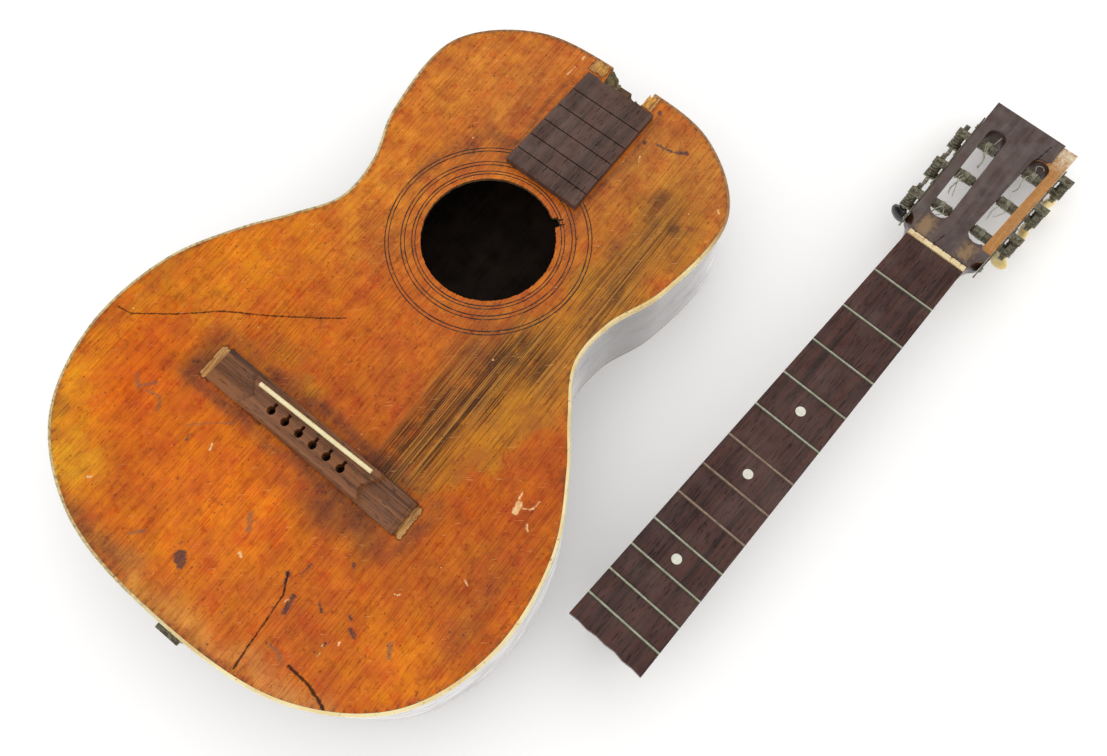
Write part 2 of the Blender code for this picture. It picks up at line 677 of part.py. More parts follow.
def make_bridge(strings):
    """Bridge with low wings, a raised block, a saddle slot and six pin holes with string slots."""
    half, block = BRIDGE_LENGTH / 2, BRIDGE_BLOCK_LENGTH / 2
    front, back = BRIDGE_FRONT_Y, BRIDGE_FRONT_Y - BRIDGE_WIDTH
    wing, tall = BRIDGE_WING_HEIGHT, BRIDGE_BLOCK_HEIGHT

    def section(x, height, bevel):
        return [(x, front, SEAT), (x, front, height - bevel * 0.4), (x, front - bevel * 0.6, height),
                (x, back + 1.6 * bevel, height), (x, back + bevel * 0.3, wing), (x, back, wing - 0.5 * MM),
                (x, back, SEAT)]

    ramp = 3.2 * MM
    stations = [(-half, wing - 0.6 * MM, 0.6 * MM), (-half + 1 * MM, wing, 0.6 * MM),
                (-block - ramp, wing, 0.6 * MM), (-block, tall, 3.0 * MM), (block, tall, 3.0 * MM),
                (block + ramp, wing, 0.6 * MM), (half - 1 * MM, wing, 0.6 * MM),
                (half, wing - 0.6 * MM, 0.6 * MM)]
    sections = [section(x, max(height, wing - 0.6 * MM), bevel) for x, height, bevel in stations]
    bridge = mesh_object("bridge", *loft(sections), "bridge_wood", strings)
    slant = Matrix.Translation((0, SADDLE_Y, 0)) @ Matrix.Rotation(SADDLE_SLANT, 4, "Z")
    slot = moved(box((-SADDLE_LENGTH / 2 - SEAT, -SADDLE_WIDTH / 2 - SEAT, tall - SADDLE_SUNK - SEAT),
                     (SADDLE_LENGTH / 2 + SEAT, SADDLE_WIDTH / 2 + SEAT, tall + 5 * MM)), slant)
    pins = [cylinder(PIN_RADIUS, -1 * MM, tall + 1 * MM, 12, place) for place in pin_places()]
    notches = [box((x - STRING_SLOT_WIDTH / 2, y, tall - 3.4 * MM),
                   (x + STRING_SLOT_WIDTH / 2, y + STRING_SLOT_LENGTH, tall + 1 * MM))
               for x, y in pin_places()]
    boolean(bridge, [slot, *pins], strings)
    boolean(bridge, notches, strings)
    saddle_low = tall - SADDLE_SUNK
    profile = [(-SADDLE_WIDTH / 2, saddle_low), (SADDLE_WIDTH / 2, saddle_low),
               (SADDLE_WIDTH / 2, saddle_low + SADDLE_HEIGHT - 0.8 * MM),
               (SADDLE_WIDTH * 0.2, saddle_low + SADDLE_HEIGHT),
               (-SADDLE_WIDTH * 0.2, saddle_low + SADDLE_HEIGHT),
               (-SADDLE_WIDTH / 2, saddle_low + SADDLE_HEIGHT - 0.8 * MM)]
    ends = [[(x, y, z) for y, z in profile] for x in (-SADDLE_LENGTH / 2, SADDLE_LENGTH / 2)]
    mesh_object("saddle", *loft(ends), "bone", strings, slant)


def make_tail_bracket():
    """Pressed metal bracket left at the tail, with a lip that stands out under the binding."""
    face = TAIL_Y - GAP
    high = top_height(TAIL_Y) - BINDING_HEIGHT - 2 * MM
    low = high - BRACKET_HEIGHT
    left, right = -1 * MM, BRACKET_WIDTH - 1 * MM
    profile = [(face, low), (face, high), (face - BRACKET_LIP, high), (face - BRACKET_LIP, high - 1.2 * MM),
               (face - BRACKET_THICKNESS, high - 2.6 * MM), (face - BRACKET_THICKNESS, low)]
    sections = [[(x, y, z) for y, z in profile] for x in (left, right)]
    bracket = mesh_object("tail_bracket", *loft(sections), "tuner_metal")
    turn = Matrix.Rotation(pi / 2, 4, "X")
    holes = [moved(cylinder(1.6 * MM, -5 * MM, 12 * MM, 10),
                   Matrix.Translation(((left + right) / 2, face, low + share * BRACKET_HEIGHT)) @ turn)
             for share in (0.25, 0.65)]
    boolean(bracket, holes)


def neck_section(y, width, depth, squash=2.4):
    """A rounded neck section: flat on top and a full curve below."""
    top_z = -BOARD_THICKNESS - SEAT
    points = []
    for i in range(SHAFT_POINTS + 1):
        angle = pi * i / SHAFT_POINTS
        c, s = cos(angle), sin(angle)
        x = np.sign(c) * abs(c) ** (2 / squash) * width / 2
        z = -abs(s) ** (2 / squash) * (depth - BOARD_THICKNESS)
        points.append((x, y, top_z + z))
    return points


def neck_depth(share):
    """Depth under the strings at a share of the way from the nut to the heel."""
    return SHAFT_DEPTH_NUT + (SHAFT_DEPTH_HEEL - SHAFT_DEPTH_NUT) * share


def head_outline():
    """The head's outline in its own frame: waisted by the nut and wider towards the tip."""
    low, tip = HEAD_LOW_WIDTH / 2, HEAD_TIP_WIDTH / 2
    start = (NUT_LENGTH + SEAT + BOARD_THICKNESS * sin(HEAD_PITCH)) / cos(HEAD_PITCH)
    nut = NUT_WIDTH / 2 + 0.6 * MM
    right = [(nut, start), (nut + 0.6 * MM, start + 4 * MM), (nut + 2.4 * MM, start + 9 * MM),
             (low - 1.2 * MM, HEAD_LOW_S - 2.4 * MM), (low, HEAD_LOW_S), (tip, HEAD_LENGTH)]
    return right + [(-x, y) for x, y in right[::-1]]


def head_side(side, s):
    """Place and turn of a head's side face at distance s from the nut."""
    x = HEAD_LOW_WIDTH / 2 + (s - HEAD_LOW_S) * tan(SIDE_ANGLE)
    return Matrix.Translation((side * x, s, 0)) @ Matrix.Rotation(-side * SIDE_ANGLE, 4, "Z")


def slot_shape(side, low, high):
    """One string slot with round ends, in line with its side of the head."""
    steps = 6
    reach = SLOT_LENGTH / 2 - SLOT_WIDTH / 2
    loop = []
    for sign in (1, -1):
        for i in range(steps + 1):
            angle = pi * i / steps + (0 if sign > 0 else pi)
            loop.append((cos(angle) * SLOT_WIDTH / 2, sign * reach + sin(angle) * SLOT_WIDTH / 2))
    turn = Matrix.Rotation(-side * SIDE_ANGLE, 4, "Z")
    place = Matrix.Translation((side * SLOT_CENTRE_X, SLOT_MIDDLE, 0)) @ turn
    return moved(prism(loop, low, high), place)


def roller_hole(side, s):
    """Bore for a roller, from the side face across the slot and into the middle rib."""
    reach = HEAD_LOW_WIDTH / 2 - SLOT_CENTRE_X + SLOT_WIDTH / 2 + 10 * MM
    bore = cylinder(ROLLER_RADIUS + 2 * GAP, -reach, 3 * MM, 16)
    turn = Matrix.Rotation(side * pi / 2, 4, "Y")
    return moved(bore, head_side(side, s) @ Matrix.Translation((0, 0, -AXIS_DEPTH)) @ turn)


def make_neck(neck, head):
    """Shaft, heel stub and head, all one piece of wood."""
    length = SCALE_LENGTH - fret_distance(BODY_FRET)
    heel_start = length - HEEL_LENGTH
    sections = [neck_section(12 * MM, NUT_WIDTH, SHAFT_DEPTH_NUT - 3 * MM)]
    for share in (0.0, 0.2, 0.45, 0.7, 1.0):
        y = heel_start * share
        width = 2 * board_half_width(SCALE_LENGTH - y)
        sections.append(neck_section(-y, width, neck_depth(share)))
    full = NUT_HEIGHT - SEAT
    for share, fall, pinch in ((0.22, 0.03, 0.99), (0.4, 0.14, 0.96), (0.52, 0.38, 0.9), (0.6, 0.7, 0.84),
                               (0.68, 1.0, 0.8), (1.0, 1.0, 0.78)):
        y = heel_start + HEEL_LENGTH * share
        width = 2 * board_half_width(SCALE_LENGTH - y)
        width = width + (HEEL_WIDTH - width) * fall * 0.5
        sections.append(neck_section(-y, width, SHAFT_DEPTH_HEEL + (full - SHAFT_DEPTH_HEEL) * fall,
                                     2.4 + 1.6 * fall))
    shaft = mesh_object("neck", *loft(sections), "neck_wood", neck, smooth=True)
    wood = prism(head_outline(), -HEAD_THICKNESS, -VENEER_THICKNESS - SEAT)
    boolean(shaft, [wood], head, "UNION")
    over = 2 * MM
    slots = [slot_shape(side, -HEAD_THICKNESS - over, over) for name, side in SIDES]
    boolean(shaft, slots, head)
    boolean(shaft, [roller_hole(side, s) for name, side in SIDES for s in ROLLER_S], head)


def make_veneer(head):
    """Dark veneer on the head; the strip over the treble rail has split off."""
    outline = head_outline()
    veneer = mesh_object("head_veneer", *prism(outline, -VENEER_THICKNESS, 0.0), "fingerboard", head)
    over = 2 * MM
    slots = [slot_shape(side, -VENEER_THICKNESS - over, over) for name, side in SIDES]
    boolean(veneer, slots, head)
    right = HEAD_TIP_WIDTH
    inner = SLOT_CENTRE_X
    split = [(inner, SLOT_MIDDLE - SLOT_LENGTH / 2 + 10 * MM), (inner + 6 * MM, HEAD_LOW_S + 5 * MM),
             (right, HEAD_LOW_S + 3 * MM), (right, HEAD_LENGTH + over),
             (inner + 5.8 * MM, HEAD_LENGTH + over), (inner + 5.0 * MM, HEAD_LENGTH - 11 * MM),
             (inner + 5.6 * MM, HEAD_LENGTH - 19 * MM), (inner + 1 * MM, HEAD_LENGTH - 26 * MM)]
    boolean(veneer, [prism(split, -VENEER_THICKNESS - over, over)], head)


def make_board(neck):
    """Fingerboard of the neck half, from the nut to the torn edge, slotted for its frets."""
    torn_y = fret_distance(BREAK_FRET) - SCALE_LENGTH
    narrow, wide = NUT_WIDTH / 2, board_half_width(fret_distance(BREAK_FRET))
    teeth = [t * MM for t in (0.0, 0.4, -0.2, 0.7, 0.2, 0.9, -0.1, 0.5, 0.0)]
    loop = [(narrow, 0.0), (-narrow, 0.0), *broken_edge(-wide, wide, torn_y + 0.6 * MM, teeth)]
    board = mesh_object("fingerboard", *prism(loop, -BOARD_THICKNESS, 0.0), "fingerboard", neck)
    half_slot = FRET_TANG / 2 + SEAT
    over = 1 * MM
    slots = [box((-wide - over, fret_distance(n) - SCALE_LENGTH - half_slot, -FRET_TANG_DEPTH - SEAT),
                 (wide + over, fret_distance(n) - SCALE_LENGTH + half_slot, over))
             for n in range(1, BODY_FRET + 1)]
    boolean(board, slots, neck)
    recesses = [cylinder(DOT_RADIUS + SEAT, -DOT_THICKNESS - SEAT, over, 20, dot_place(fret))
                for name, fret in DOTS]
    boolean(board, recesses, neck)
    for n in range(1, BODY_FRET + 1):
        make_fret(neck, n)
    for name, fret in DOTS:
        mesh_object(name, *cylinder(DOT_RADIUS, -DOT_THICKNESS, 0.0, 20, dot_place(fret)), "pearl", neck)
    top_z = NUT_PROUD
    nut = [(0.3 * MM, -BOARD_THICKNESS), (0.3 * MM, top_z), (NUT_LENGTH * 0.45, top_z),
           (NUT_LENGTH, top_z - 2.0 * MM), (NUT_LENGTH, -BOARD_THICKNESS)]
    ends = [[(x, y, z) for y, z in nut] for x in (-NUT_WIDTH / 2, NUT_WIDTH / 2)]
    mesh_object("nut", *loft(ends), "bone", neck)


def dot_place(fret):
    """Middle of the space behind a fret, on the neck's centre line."""
    return (0.0, (fret_distance(fret) + fret_distance(fret - 1)) / 2 - SCALE_LENGTH)


def make_fret(neck, number):
    """A fret with a round crown and a tang in its slot."""
    distance = fret_distance(number)
    half = board_half_width(distance)
    crown, tang = FRET_CROWN / 2, FRET_TANG / 2
    profile = [(-tang, -FRET_TANG_DEPTH), (tang, -FRET_TANG_DEPTH), (tang, SEAT), (crown, SEAT),
               (crown * 0.72, FRET_HEIGHT * 0.72), (crown * 0.3, FRET_HEIGHT), (-crown * 0.3, FRET_HEIGHT),
               (-crown * 0.72, FRET_HEIGHT * 0.72), (-crown, SEAT), (-tang, SEAT)]
    y = distance - SCALE_LENGTH
    ends = [[(x, y + along, z) for along, z in profile] for x in (-half, half)]
    mesh_object("fret_%02d" % number, *loft(ends), "fret_metal", neck)


def gear_shape():
    """Gear teeth about X: a tooth gap faces +Y at the middle, and the teeth lean with the thread."""
    lean = WORM_PITCH / (2 * pi * WORM_PITCH_RADIUS) / GEAR_RADIUS
    root, tip = GEAR_RADIUS - TOOTH_DEDENDUM, GEAR_RADIUS + TOOTH_ADDENDUM
    base_half, tip_half = TOOTH_WIDTH * 0.80, TOOTH_WIDTH * 0.30
    sections = []
    for x in (-GEAR_WIDTH / 2, GEAR_WIDTH / 2):
        points = []
        for i in range(GEAR_TEETH):
            middle = 2 * pi * (i + 0.5) / GEAR_TEETH + lean * x
            for radius, half in ((root, -base_half), (tip, -tip_half), (tip, tip_half), (root, base_half)):
                angle = middle + half / radius
                points.append((x, radius * cos(angle), radius * sin(angle)))
        sections.append(points)
    return loft(sections)


def worm_shape(top_z, low_z):
    """A right-hand worm about Z on its shaft, with a crest facing -Y at z = 0."""
    crest, core = WORM_PITCH_RADIUS + TOOTH_ADDENDUM, WORM_CORE_RADIUS
    half = WORM_LENGTH / 2
    quarter = WORM_PITCH / 4
    turns = int(WORM_LENGTH / WORM_PITCH) + 3
    flat = TOOTH_WIDTH * 0.3
    foot = TOOTH_WIDTH * 0.85
    corners = ((-foot, core), (-flat, crest), (flat, crest), (foot, core))
    columns = []
    for j in range(WORM_STEPS + 1):
        angle = 2 * pi * j / WORM_STEPS
        rise = WORM_PITCH * j / WORM_STEPS
        column = [(0.0, low_z), (SHAFT_RADIUS, low_z), (SHAFT_RADIUS, -half), (core, -half)]
        for k in range(-turns, turns + 1):
            for offset, radius in corners:
                z = k * WORM_PITCH + offset + rise
                clipped = min(max(z, -half), half)
                column.append((radius if clipped == z else core, clipped))
        column += [(core, half), (SHAFT_RADIUS, half), (SHAFT_RADIUS, top_z), (0.0, top_z)]
        turn = angle - pi / 2
        columns.append([(max(r, 1e-9) * cos(turn), max(r, 1e-9) * sin(turn), z) for r, z in column])
    count = len(columns[0])
    verts = [point for column in columns for point in column]
    faces = []
    for j in range(WORM_STEPS):
        for k in range(count - 1):
            a, b = j * count + k, (j + 1) * count + k
            faces.append((a, b, b + 1, a + 1))
    return verts, faces


def button_shape(high):
    """A flat oval button with a blind bore for the shaft in its upper end."""
    low = high - BUTTON_LENGTH
    bore = SHAFT_RADIUS + GAP
    wide, flat = BUTTON_WIDTH / 2, BUTTON_FLAT / 2
    profile = ((0.0, low), (0.45, low + 0.4 * MM), (0.82, low + 2.4 * MM), (1.0, low + 5.6 * MM),
               (0.9, low + 8.4 * MM), (0.55, low + 10.6 * MM), (0.38, high))
    sections = []
    steps = 20
    for share, z in profile:
        sections.append([(max(share * flat, 1e-9) * cos(2 * pi * j / steps),
                          max(share * wide, 1e-9) * sin(2 * pi * j / steps), z) for j in range(steps)])
    neck_round = bore + 1.0 * MM
    sections[-1] = [(neck_round * cos(2 * pi * j / steps), neck_round * sin(2 * pi * j / steps), high)
                    for j in range(steps)]
    for radius, z in ((bore, high), (bore, high - BUTTON_BORE), (1e-9, high - BUTTON_BORE)):
        sections.append([(radius * cos(2 * pi * j / steps), radius * sin(2 * pi * j / steps), z)
                         for j in range(steps)])
    return loft(sections)


def make_plate(name, side, machine):
    """Tuner plate with three pairs of ears for the worms and three axle holes."""
    middle = SLOT_MIDDLE - 3 * MM
    near, far = side * GAP, side * (GAP + PLATE_THICKNESS)
    half, tall = PLATE_LENGTH / 2, PLATE_HEIGHT / 2
    along, up = half - 3 * MM, tall - 2 * MM
    outline = [(-half, -up), (-along, -tall), (along, -tall), (half, -up),
               (half, up), (along, tall), (-along, tall), (-half, up)]
    shape = loft([[(x, middle - SLOT_MIDDLE + y, z - AXIS_DEPTH) for y, z in outline] for x in (near, far)])
    plate = mesh_object("tuner_plate_" + name, *shape, "tuner_metal", machine)
    ears, holes = [], []
    turn = Matrix.Rotation(pi / 2, 4, "Y")
    gap = WORM_LENGTH / 2 + GAP
    for s in ROLLER_S:
        y = s - SLOT_MIDDLE
        worm_y = y + WORM_TOWARD[name] * WORM_OFFSET
        for low, high in ((gap, gap + EAR_THICKNESS), (-gap - EAR_THICKNESS, -gap)):
            root, tip = sorted((side * (GAP + PLATE_THICKNESS * 0.5), side * (GAP + EAR_REACH)))
            ears.append(box((root, worm_y - EAR_WIDTH / 2, low - AXIS_DEPTH),
                            (tip, worm_y + EAR_WIDTH / 2, high - AXIS_DEPTH)))
        place = Matrix.Translation((side * (GAP + PLATE_THICKNESS), y, -AXIS_DEPTH)) @ turn
        holes.append(moved(cylinder(AXLE_RADIUS + GAP, -3 * MM, 3 * MM), place))
        holes.append(cylinder(SHAFT_RADIUS + GAP, -AXIS_DEPTH - gap - 4 * MM, -AXIS_DEPTH + gap + 4 * MM, 12,
                              (side * GEAR_MIDDLE, worm_y)))
    web = []
    for s in ROLLER_S:
        worm_y = s - SLOT_MIDDLE + WORM_TOWARD[name] * WORM_OFFSET
        root, tip = sorted((side * GAP, side * (GAP + PLATE_THICKNESS)))
        web.append(box((root, worm_y - EAR_WIDTH / 2, -AXIS_DEPTH - gap - EAR_THICKNESS),
                       (tip, worm_y + EAR_WIDTH / 2, -AXIS_DEPTH + gap + EAR_THICKNESS)))
    boolean(plate, web, machine, "UNION")
    boolean(plate, ears, machine, "UNION")
    boolean(plate, holes, machine)


def make_tuner(name, side, number, machine, button, button_turn):
    """One worm on its shaft, the gear with its roller, and a button where one is left."""
    y = ROLLER_S[number - 1] - SLOT_MIDDLE
    label = "%s_%d" % (name, number)
    x = side * GEAR_MIDDLE
    toward = WORM_TOWARD[name]
    place = Matrix.Translation((x, y + toward * WORM_OFFSET, -AXIS_DEPTH))
    facing = Matrix.Rotation(0.0 if toward > 0 else pi, 4, "Z")
    worm_frame = empty("worm_axis_" + label, place @ facing, machine)
    top_z = WORM_LENGTH / 2 + GAP + EAR_THICKNESS + 0.8 * MM
    low_z = -WORM_LENGTH / 2 - SHAFT_TAIL
    mesh_object("worm_" + label, *worm_shape(top_z, low_z), "tuner_metal", worm_frame)
    if button:
        high = low_z + BUTTON_BORE - GAP
        turn = Matrix.Rotation(button_turn, 4, "Z")
        mesh_object("button_" + label, *moved(button_shape(high), turn), button, worm_frame, smooth=True)
    gear_frame = empty("gear_axis_" + label, Matrix.Translation((x, y, -AXIS_DEPTH)), machine)
    gear = mesh_object("gear_" + label, *gear_shape(), "tuner_metal", gear_frame)
    inner = HEAD_LOW_WIDTH / 2 - SLOT_CENTRE_X + SLOT_WIDTH / 2 + 6 * MM
    reach = GEAR_MIDDLE + inner
    shoulder = GEAR_MIDDLE + 0.8 * MM
    profile = [(ROLLER_RADIUS - 1 * MM, -reach), (ROLLER_RADIUS - 1 * MM, -reach + 5 * MM),
               (ROLLER_RADIUS, -reach + 5 * MM), (ROLLER_RADIUS, -shoulder),
               (AXLE_RADIUS, -shoulder), (AXLE_RADIUS, GEAR_WIDTH / 2 + 1 * MM)]
    roller = loft(turned(profile, 14))
    place = Matrix.Rotation(side * pi / 2, 4, "Y")
    boolean(gear, [moved(roller, place)], gear_frame, "UNION")


def make_tuners(head):
    """Both plates of tuners; two of the bass buttons are lost and the third is black."""
    buttons = {"bass": ("button_black", None, None), "treble": ("button_cream",) * 3}
    turns = {"bass": (radians(70), 0.0, 0.0), "treble": (radians(75), radians(20), radians(-15))}
    for name, side in SIDES:
        place = head_side(side, SLOT_MIDDLE)
        machine = empty("tuner_side_" + name, place, head)
        make_plate(name, side, machine)
        for number in (1, 2, 3):
            make_tuner(name, side, number, machine, buttons[name][number - 1], turns[name][number - 1])


def main():
    """Build the body, then the neck beside it."""
    clear_scene()
    top = top_frame()
    strings = empty("string_line", STRING_PLACE, top)
    make_soundboard(top, strings)
    make_rosette(top)
    make_back()
    make_ribs()
    make_binding(top)
    make_linings()
    make_neck_block()
    make_tail_block()
    make_braces(top, strings)
    make_extension(strings)
    make_bridge(strings)
    make_tail_bracket()
    turn = Matrix.Rotation(NECK_YAW, 4, "Z")
    neck = empty("neck_face", Matrix.Translation((NUT_X, NUT_Y, NUT_HEIGHT)) @ turn)
    tilt = Matrix.Rotation(-HEAD_PITCH, 4, "X")
    head = empty("head_face", Matrix.Translation((0, 0, -HEAD_DROP)) @ tilt, neck)
    make_neck(neck, head)
    make_veneer(head)
    make_board(neck)
    make_tuners(head)


main()
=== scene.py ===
"""Dresses the broken parlour guitar: worn varnish, dark sides, dry fingerboard, rusty tuners.

The solids keep their places. New surfaces are made here for the soundboard, its rings, the
binding, the sides, the back, the torn joint, the nut, the screws and the remains of strings.
Lengths are in metres, and the tables of marks on the soundboard are in millimetres, measured
from the saddle line on the body's middle line.
"""

import json
import logging
from dataclasses import dataclass, field
from enum import Enum

import bmesh
import bpy
import numpy as np
from mathutils import Matrix, Vector

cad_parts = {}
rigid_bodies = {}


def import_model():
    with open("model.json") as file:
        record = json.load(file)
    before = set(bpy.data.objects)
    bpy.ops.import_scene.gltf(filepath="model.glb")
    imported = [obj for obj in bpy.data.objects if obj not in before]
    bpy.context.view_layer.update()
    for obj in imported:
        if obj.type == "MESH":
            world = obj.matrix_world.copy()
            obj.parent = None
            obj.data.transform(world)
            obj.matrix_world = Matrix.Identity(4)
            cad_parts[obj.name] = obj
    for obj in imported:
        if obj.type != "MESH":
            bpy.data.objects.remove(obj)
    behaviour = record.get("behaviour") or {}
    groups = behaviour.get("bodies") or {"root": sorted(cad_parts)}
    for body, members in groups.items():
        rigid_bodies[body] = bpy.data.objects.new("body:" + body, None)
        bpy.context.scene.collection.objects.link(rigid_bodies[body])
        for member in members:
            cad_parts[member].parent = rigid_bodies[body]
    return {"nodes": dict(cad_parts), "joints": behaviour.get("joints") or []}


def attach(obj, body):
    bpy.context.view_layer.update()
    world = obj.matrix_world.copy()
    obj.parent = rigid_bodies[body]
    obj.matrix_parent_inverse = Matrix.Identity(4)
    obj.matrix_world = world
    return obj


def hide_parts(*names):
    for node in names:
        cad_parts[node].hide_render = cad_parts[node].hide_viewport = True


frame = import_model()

MM = 0.001
BODY = "guitar"
SHARP_ANGLE = 0.6
LOG = logging.getLogger("guitar")

Socket = bpy.types.NodeSocket
Colour = tuple[float, float, float, float]
Size = tuple[float, float, float]


def linear(code: str) -> Colour:
    """Turn an sRGB hex value into a linear colour.

    Args:
        code: six hex digits after a hash sign.

    Returns:
        Red, green, blue and an alpha of 1.
    """
    parts = np.array([int(code[i:i + 2], 16) for i in (1, 3, 5)]) / 255.0
    low, high = parts / 12.92, ((parts + 0.055) / 1.055) ** 2.4
    return (*np.where(parts <= 0.04045, low, high).tolist(), 1.0)


class Side(Enum):
    """The two long sides of the instrument."""

    BASS = -1
    TREBLE = 1

    @property
    def word(self) -> str:
        """The side's name in node names."""
        return self.name.lower()


class Nodes:
    """A node tree that grows by one node at a time."""

    def __init__(self, tree: bpy.types.NodeTree, family: str = "ShaderNode") -> None:
        """Take the tree to build in.

        Args:
            tree: the node tree.
            family: what the names of its node types start with.
        """
        self.tree = tree
        self.family = family

    def add(self, kind: str, *values: object, out: int | str | None = None, **settings: object) -> Socket:
        """Add a node with its settings and links.

        The node's own properties are set first. The values then go, in order, to the inputs that
        these leave open. A setting that starts with a capital is an input, with _ for a space.

        Args:
            kind: the node's type.
            values: a socket, a number, a vector or a hex colour for each input.
            out: the output that is wanted, if not the first open one.
            settings: the node's properties, and inputs by name.

        Returns:
            That output.
        """
        node = self.tree.nodes.new(self.family + kind)
        for key, value in settings.items():
            if key[0].islower():
                setattr(node, key, value)
        for socket, value in zip([socket for socket in node.inputs if socket.enabled], values):
            self.feed(socket, value)
        for key, value in settings.items():
            if key[0].isupper():
                self.feed(node.inputs[key.replace("_", " ")], value)
        return node.outputs[out] if out else next(socket for socket in node.outputs if socket.enabled)

    def feed(self, socket: Socket, value: object) -> None:
        """Link or set an input; a text value is a hex colour."""
        if isinstance(value, bpy.types.NodeSocket):
            self.tree.links.new(value, socket)
        else:
            socket.default_value = linear(value) if isinstance(value, str) else value


class Recipe(Nodes):
    """One material's nodes, which read the object's own coordinates."""

    def __init__(self, name: str) -> None:
        """Start a material with a Principled shader.

        Args:
            name: the material's name.
        """
        self.material = bpy.data.materials.new(name)
        self.material.use_nodes = True
        super().__init__(self.material.node_tree)
        self.shader = self.tree.nodes["Principled BSDF"]
        self.objects = self.add("TexCoord", out="Object")

    def pattern(self, size: Size, detail: float, rough: float, low: float, high: float,
                turn: Size = (0.0, 0.0, 0.0), origin: Size = (0.0, 0.0, 0.0)) -> Socket:
        """A cloudy pattern of a real size, stretched so that low becomes 0 and high becomes 1.

        Args:
            size: the clouds' size along each axis, in millimetres.
            detail: how many finer octaves are added.
            rough: how strong each octave is beside the one before.
            low: the noise that becomes 0.
            high: the noise that becomes 1.
            turn: the turn of the axes, in radians.
            origin: the middle, in metres.

        Returns:
            The pattern.
        """
        where = self.add("Mapping", self.objects, origin, turn, tuple(s * MM for s in size),
                         vector_type="TEXTURE")
        return self.add("MapRange", self.add("TexNoise", where, 1.0, detail, rough), low, high)

    def coat(self, base: Socket | str, tone: Socket | str, share: Socket, depth: Socket | float) -> Socket:
        """A tone over a colour, by a share times a depth."""
        amount = self.add("Math", share, depth, operation="MULTIPLY")
        return self.add("Mix", amount, base, tone, data_type="RGBA")

    def finish(self, **inputs: object) -> bpy.types.Material:
        """Set or link the shader's inputs, whose names have _ for a space."""
        for key, value in inputs.items():
            self.feed(self.shader.inputs[key.replace("_", " ")], value)
        return self.material


# ---------------------------------------------------------------------------------------------
# Finishes
# ---------------------------------------------------------------------------------------------

# Marks in the varnish: bent lines with their points in millimetres on the soundboard, and half width
CRACKS = (
    (((-155.7, -18.8), (-146.0, -17.2), (-122.4, 0.2), (-101.0, 19.3), (-75.0, 35.2), (-51.0, 51.9),
      (-36.2, 63.1)), 0.45),
    (((40.7, -76.0), (46.7, -87.0), (48.6, -103.0), (50.2, -122.0), (51.9, -134.0)), 0.55),
    (((75.2, -114.0), (90.0, -114.6), (101.4, -117.6), (106.0, -119.5)), 0.95),
)
STAINS = (
    (((-14.6, -105.5), (-12.0, -109.0), (-11.4, -111.5)), 2.2), (((-16.5, -107.0), (-15.0, -110.0)), 2.4),
    (((-20.5, -101.0), (-20.0, -102.5)), 0.4),
    (((40.7, -76.0), (43.7, -82.0)), 1.1), (((47.9, -64.0), (47.4, -72.0)), 0.8),
    (((52.0, -84.0), (53.6, -94.0)), 1.5), (((66.5, -78.0), (70.0, -80.5)), 0.8),
    (((84.5, -72.5), (86.5, -74.0)), 0.8), (((90.0, -78.0), (93.5, -79.5)), 1.3),
    (((67.0, -49.0), (68.6, -50.5)), 0.9), (((83.0, -92.0), (83.4, -96.0)), 0.6),
    (((-62.0, -52.5), (-60.8, -54.5)), 0.7),
    (((33.5, 303.0), (34.0, 302.5)), 1.6), (((66.0, 288.0), (56.0, 283.0), (46.0, 282.0)), 0.8),
    (((59.5, 284.5), (65.0, 288.0)), 1.4), (((38.5, 278.5), (39.0, 278.0)), 1.4),
)
SCRAPES = (
    (((-114.0, -43.5), (-108.0, -48.5), (-101.0, -40.5)), 1.2),
    (((-101.0, -47.5), (-93.0, -45.0), (-88.0, -52.0)), 1.0),
    (((-67.6, -48.6), (-56.0, -38.0), (-46.0, -30.7)), 0.6),
    (((60.0, -112.0), (66.0, -112.5), (71.0, -115.5)), 1.1), (((-48.0, -116.0), (-42.0, -110.0)), 0.9),
    (((112.0, -70.0), (116.0, -76.0)), 1.6), (((0.0, -64.0), (6.0, -72.0)), 1.4),
)
CHIPS = (
    (((120.6, 36.5), (121.6, 32.0)), 2.1), (((118.5, 39.5), (118.0, 42.5)), 0.6),
    (((129.5, 45.0), (128.0, 38.0), (123.5, 36.0)), 0.4), (((131.0, 30.0), (134.0, 27.0)), 0.4),
    (((11.0, -84.8), (12.4, -85.6)), 0.9), (((89.0, -87.2), (90.0, -88.6)), 0.5),
    (((82.5, -93.5), (83.0, -95.0)), 0.35), (((84.0, -98.0), (84.5, -100.0)), 0.3),
    (((50.5, -87.0), (50.0, -89.0)), 0.5), (((96.0, -48.0), (99.0, -46.0)), 0.35),
    (((-91.5, -108.0), (-89.5, -106.2)), 0.5), (((-46.8, -47.2), (-45.2, -50.6)), 0.45),
    (((123.5, -17.0), (126.0, -18.0)), 0.5), (((-33.0, 298.0), (-33.4, 290.0)), 0.35),
    (((104.6, 266.0), (106.6, 264.0)), 0.5), (((-95.0, 148.0), (-93.0, 150.0)), 0.5),
    (((42.0, 268.0), (44.0, 263.5)), 0.35), (((-33.0, 308.0), (-32.4, 306.0)), 0.7),
)

Marks = tuple[tuple[tuple[tuple[float, float], ...], float], ...]


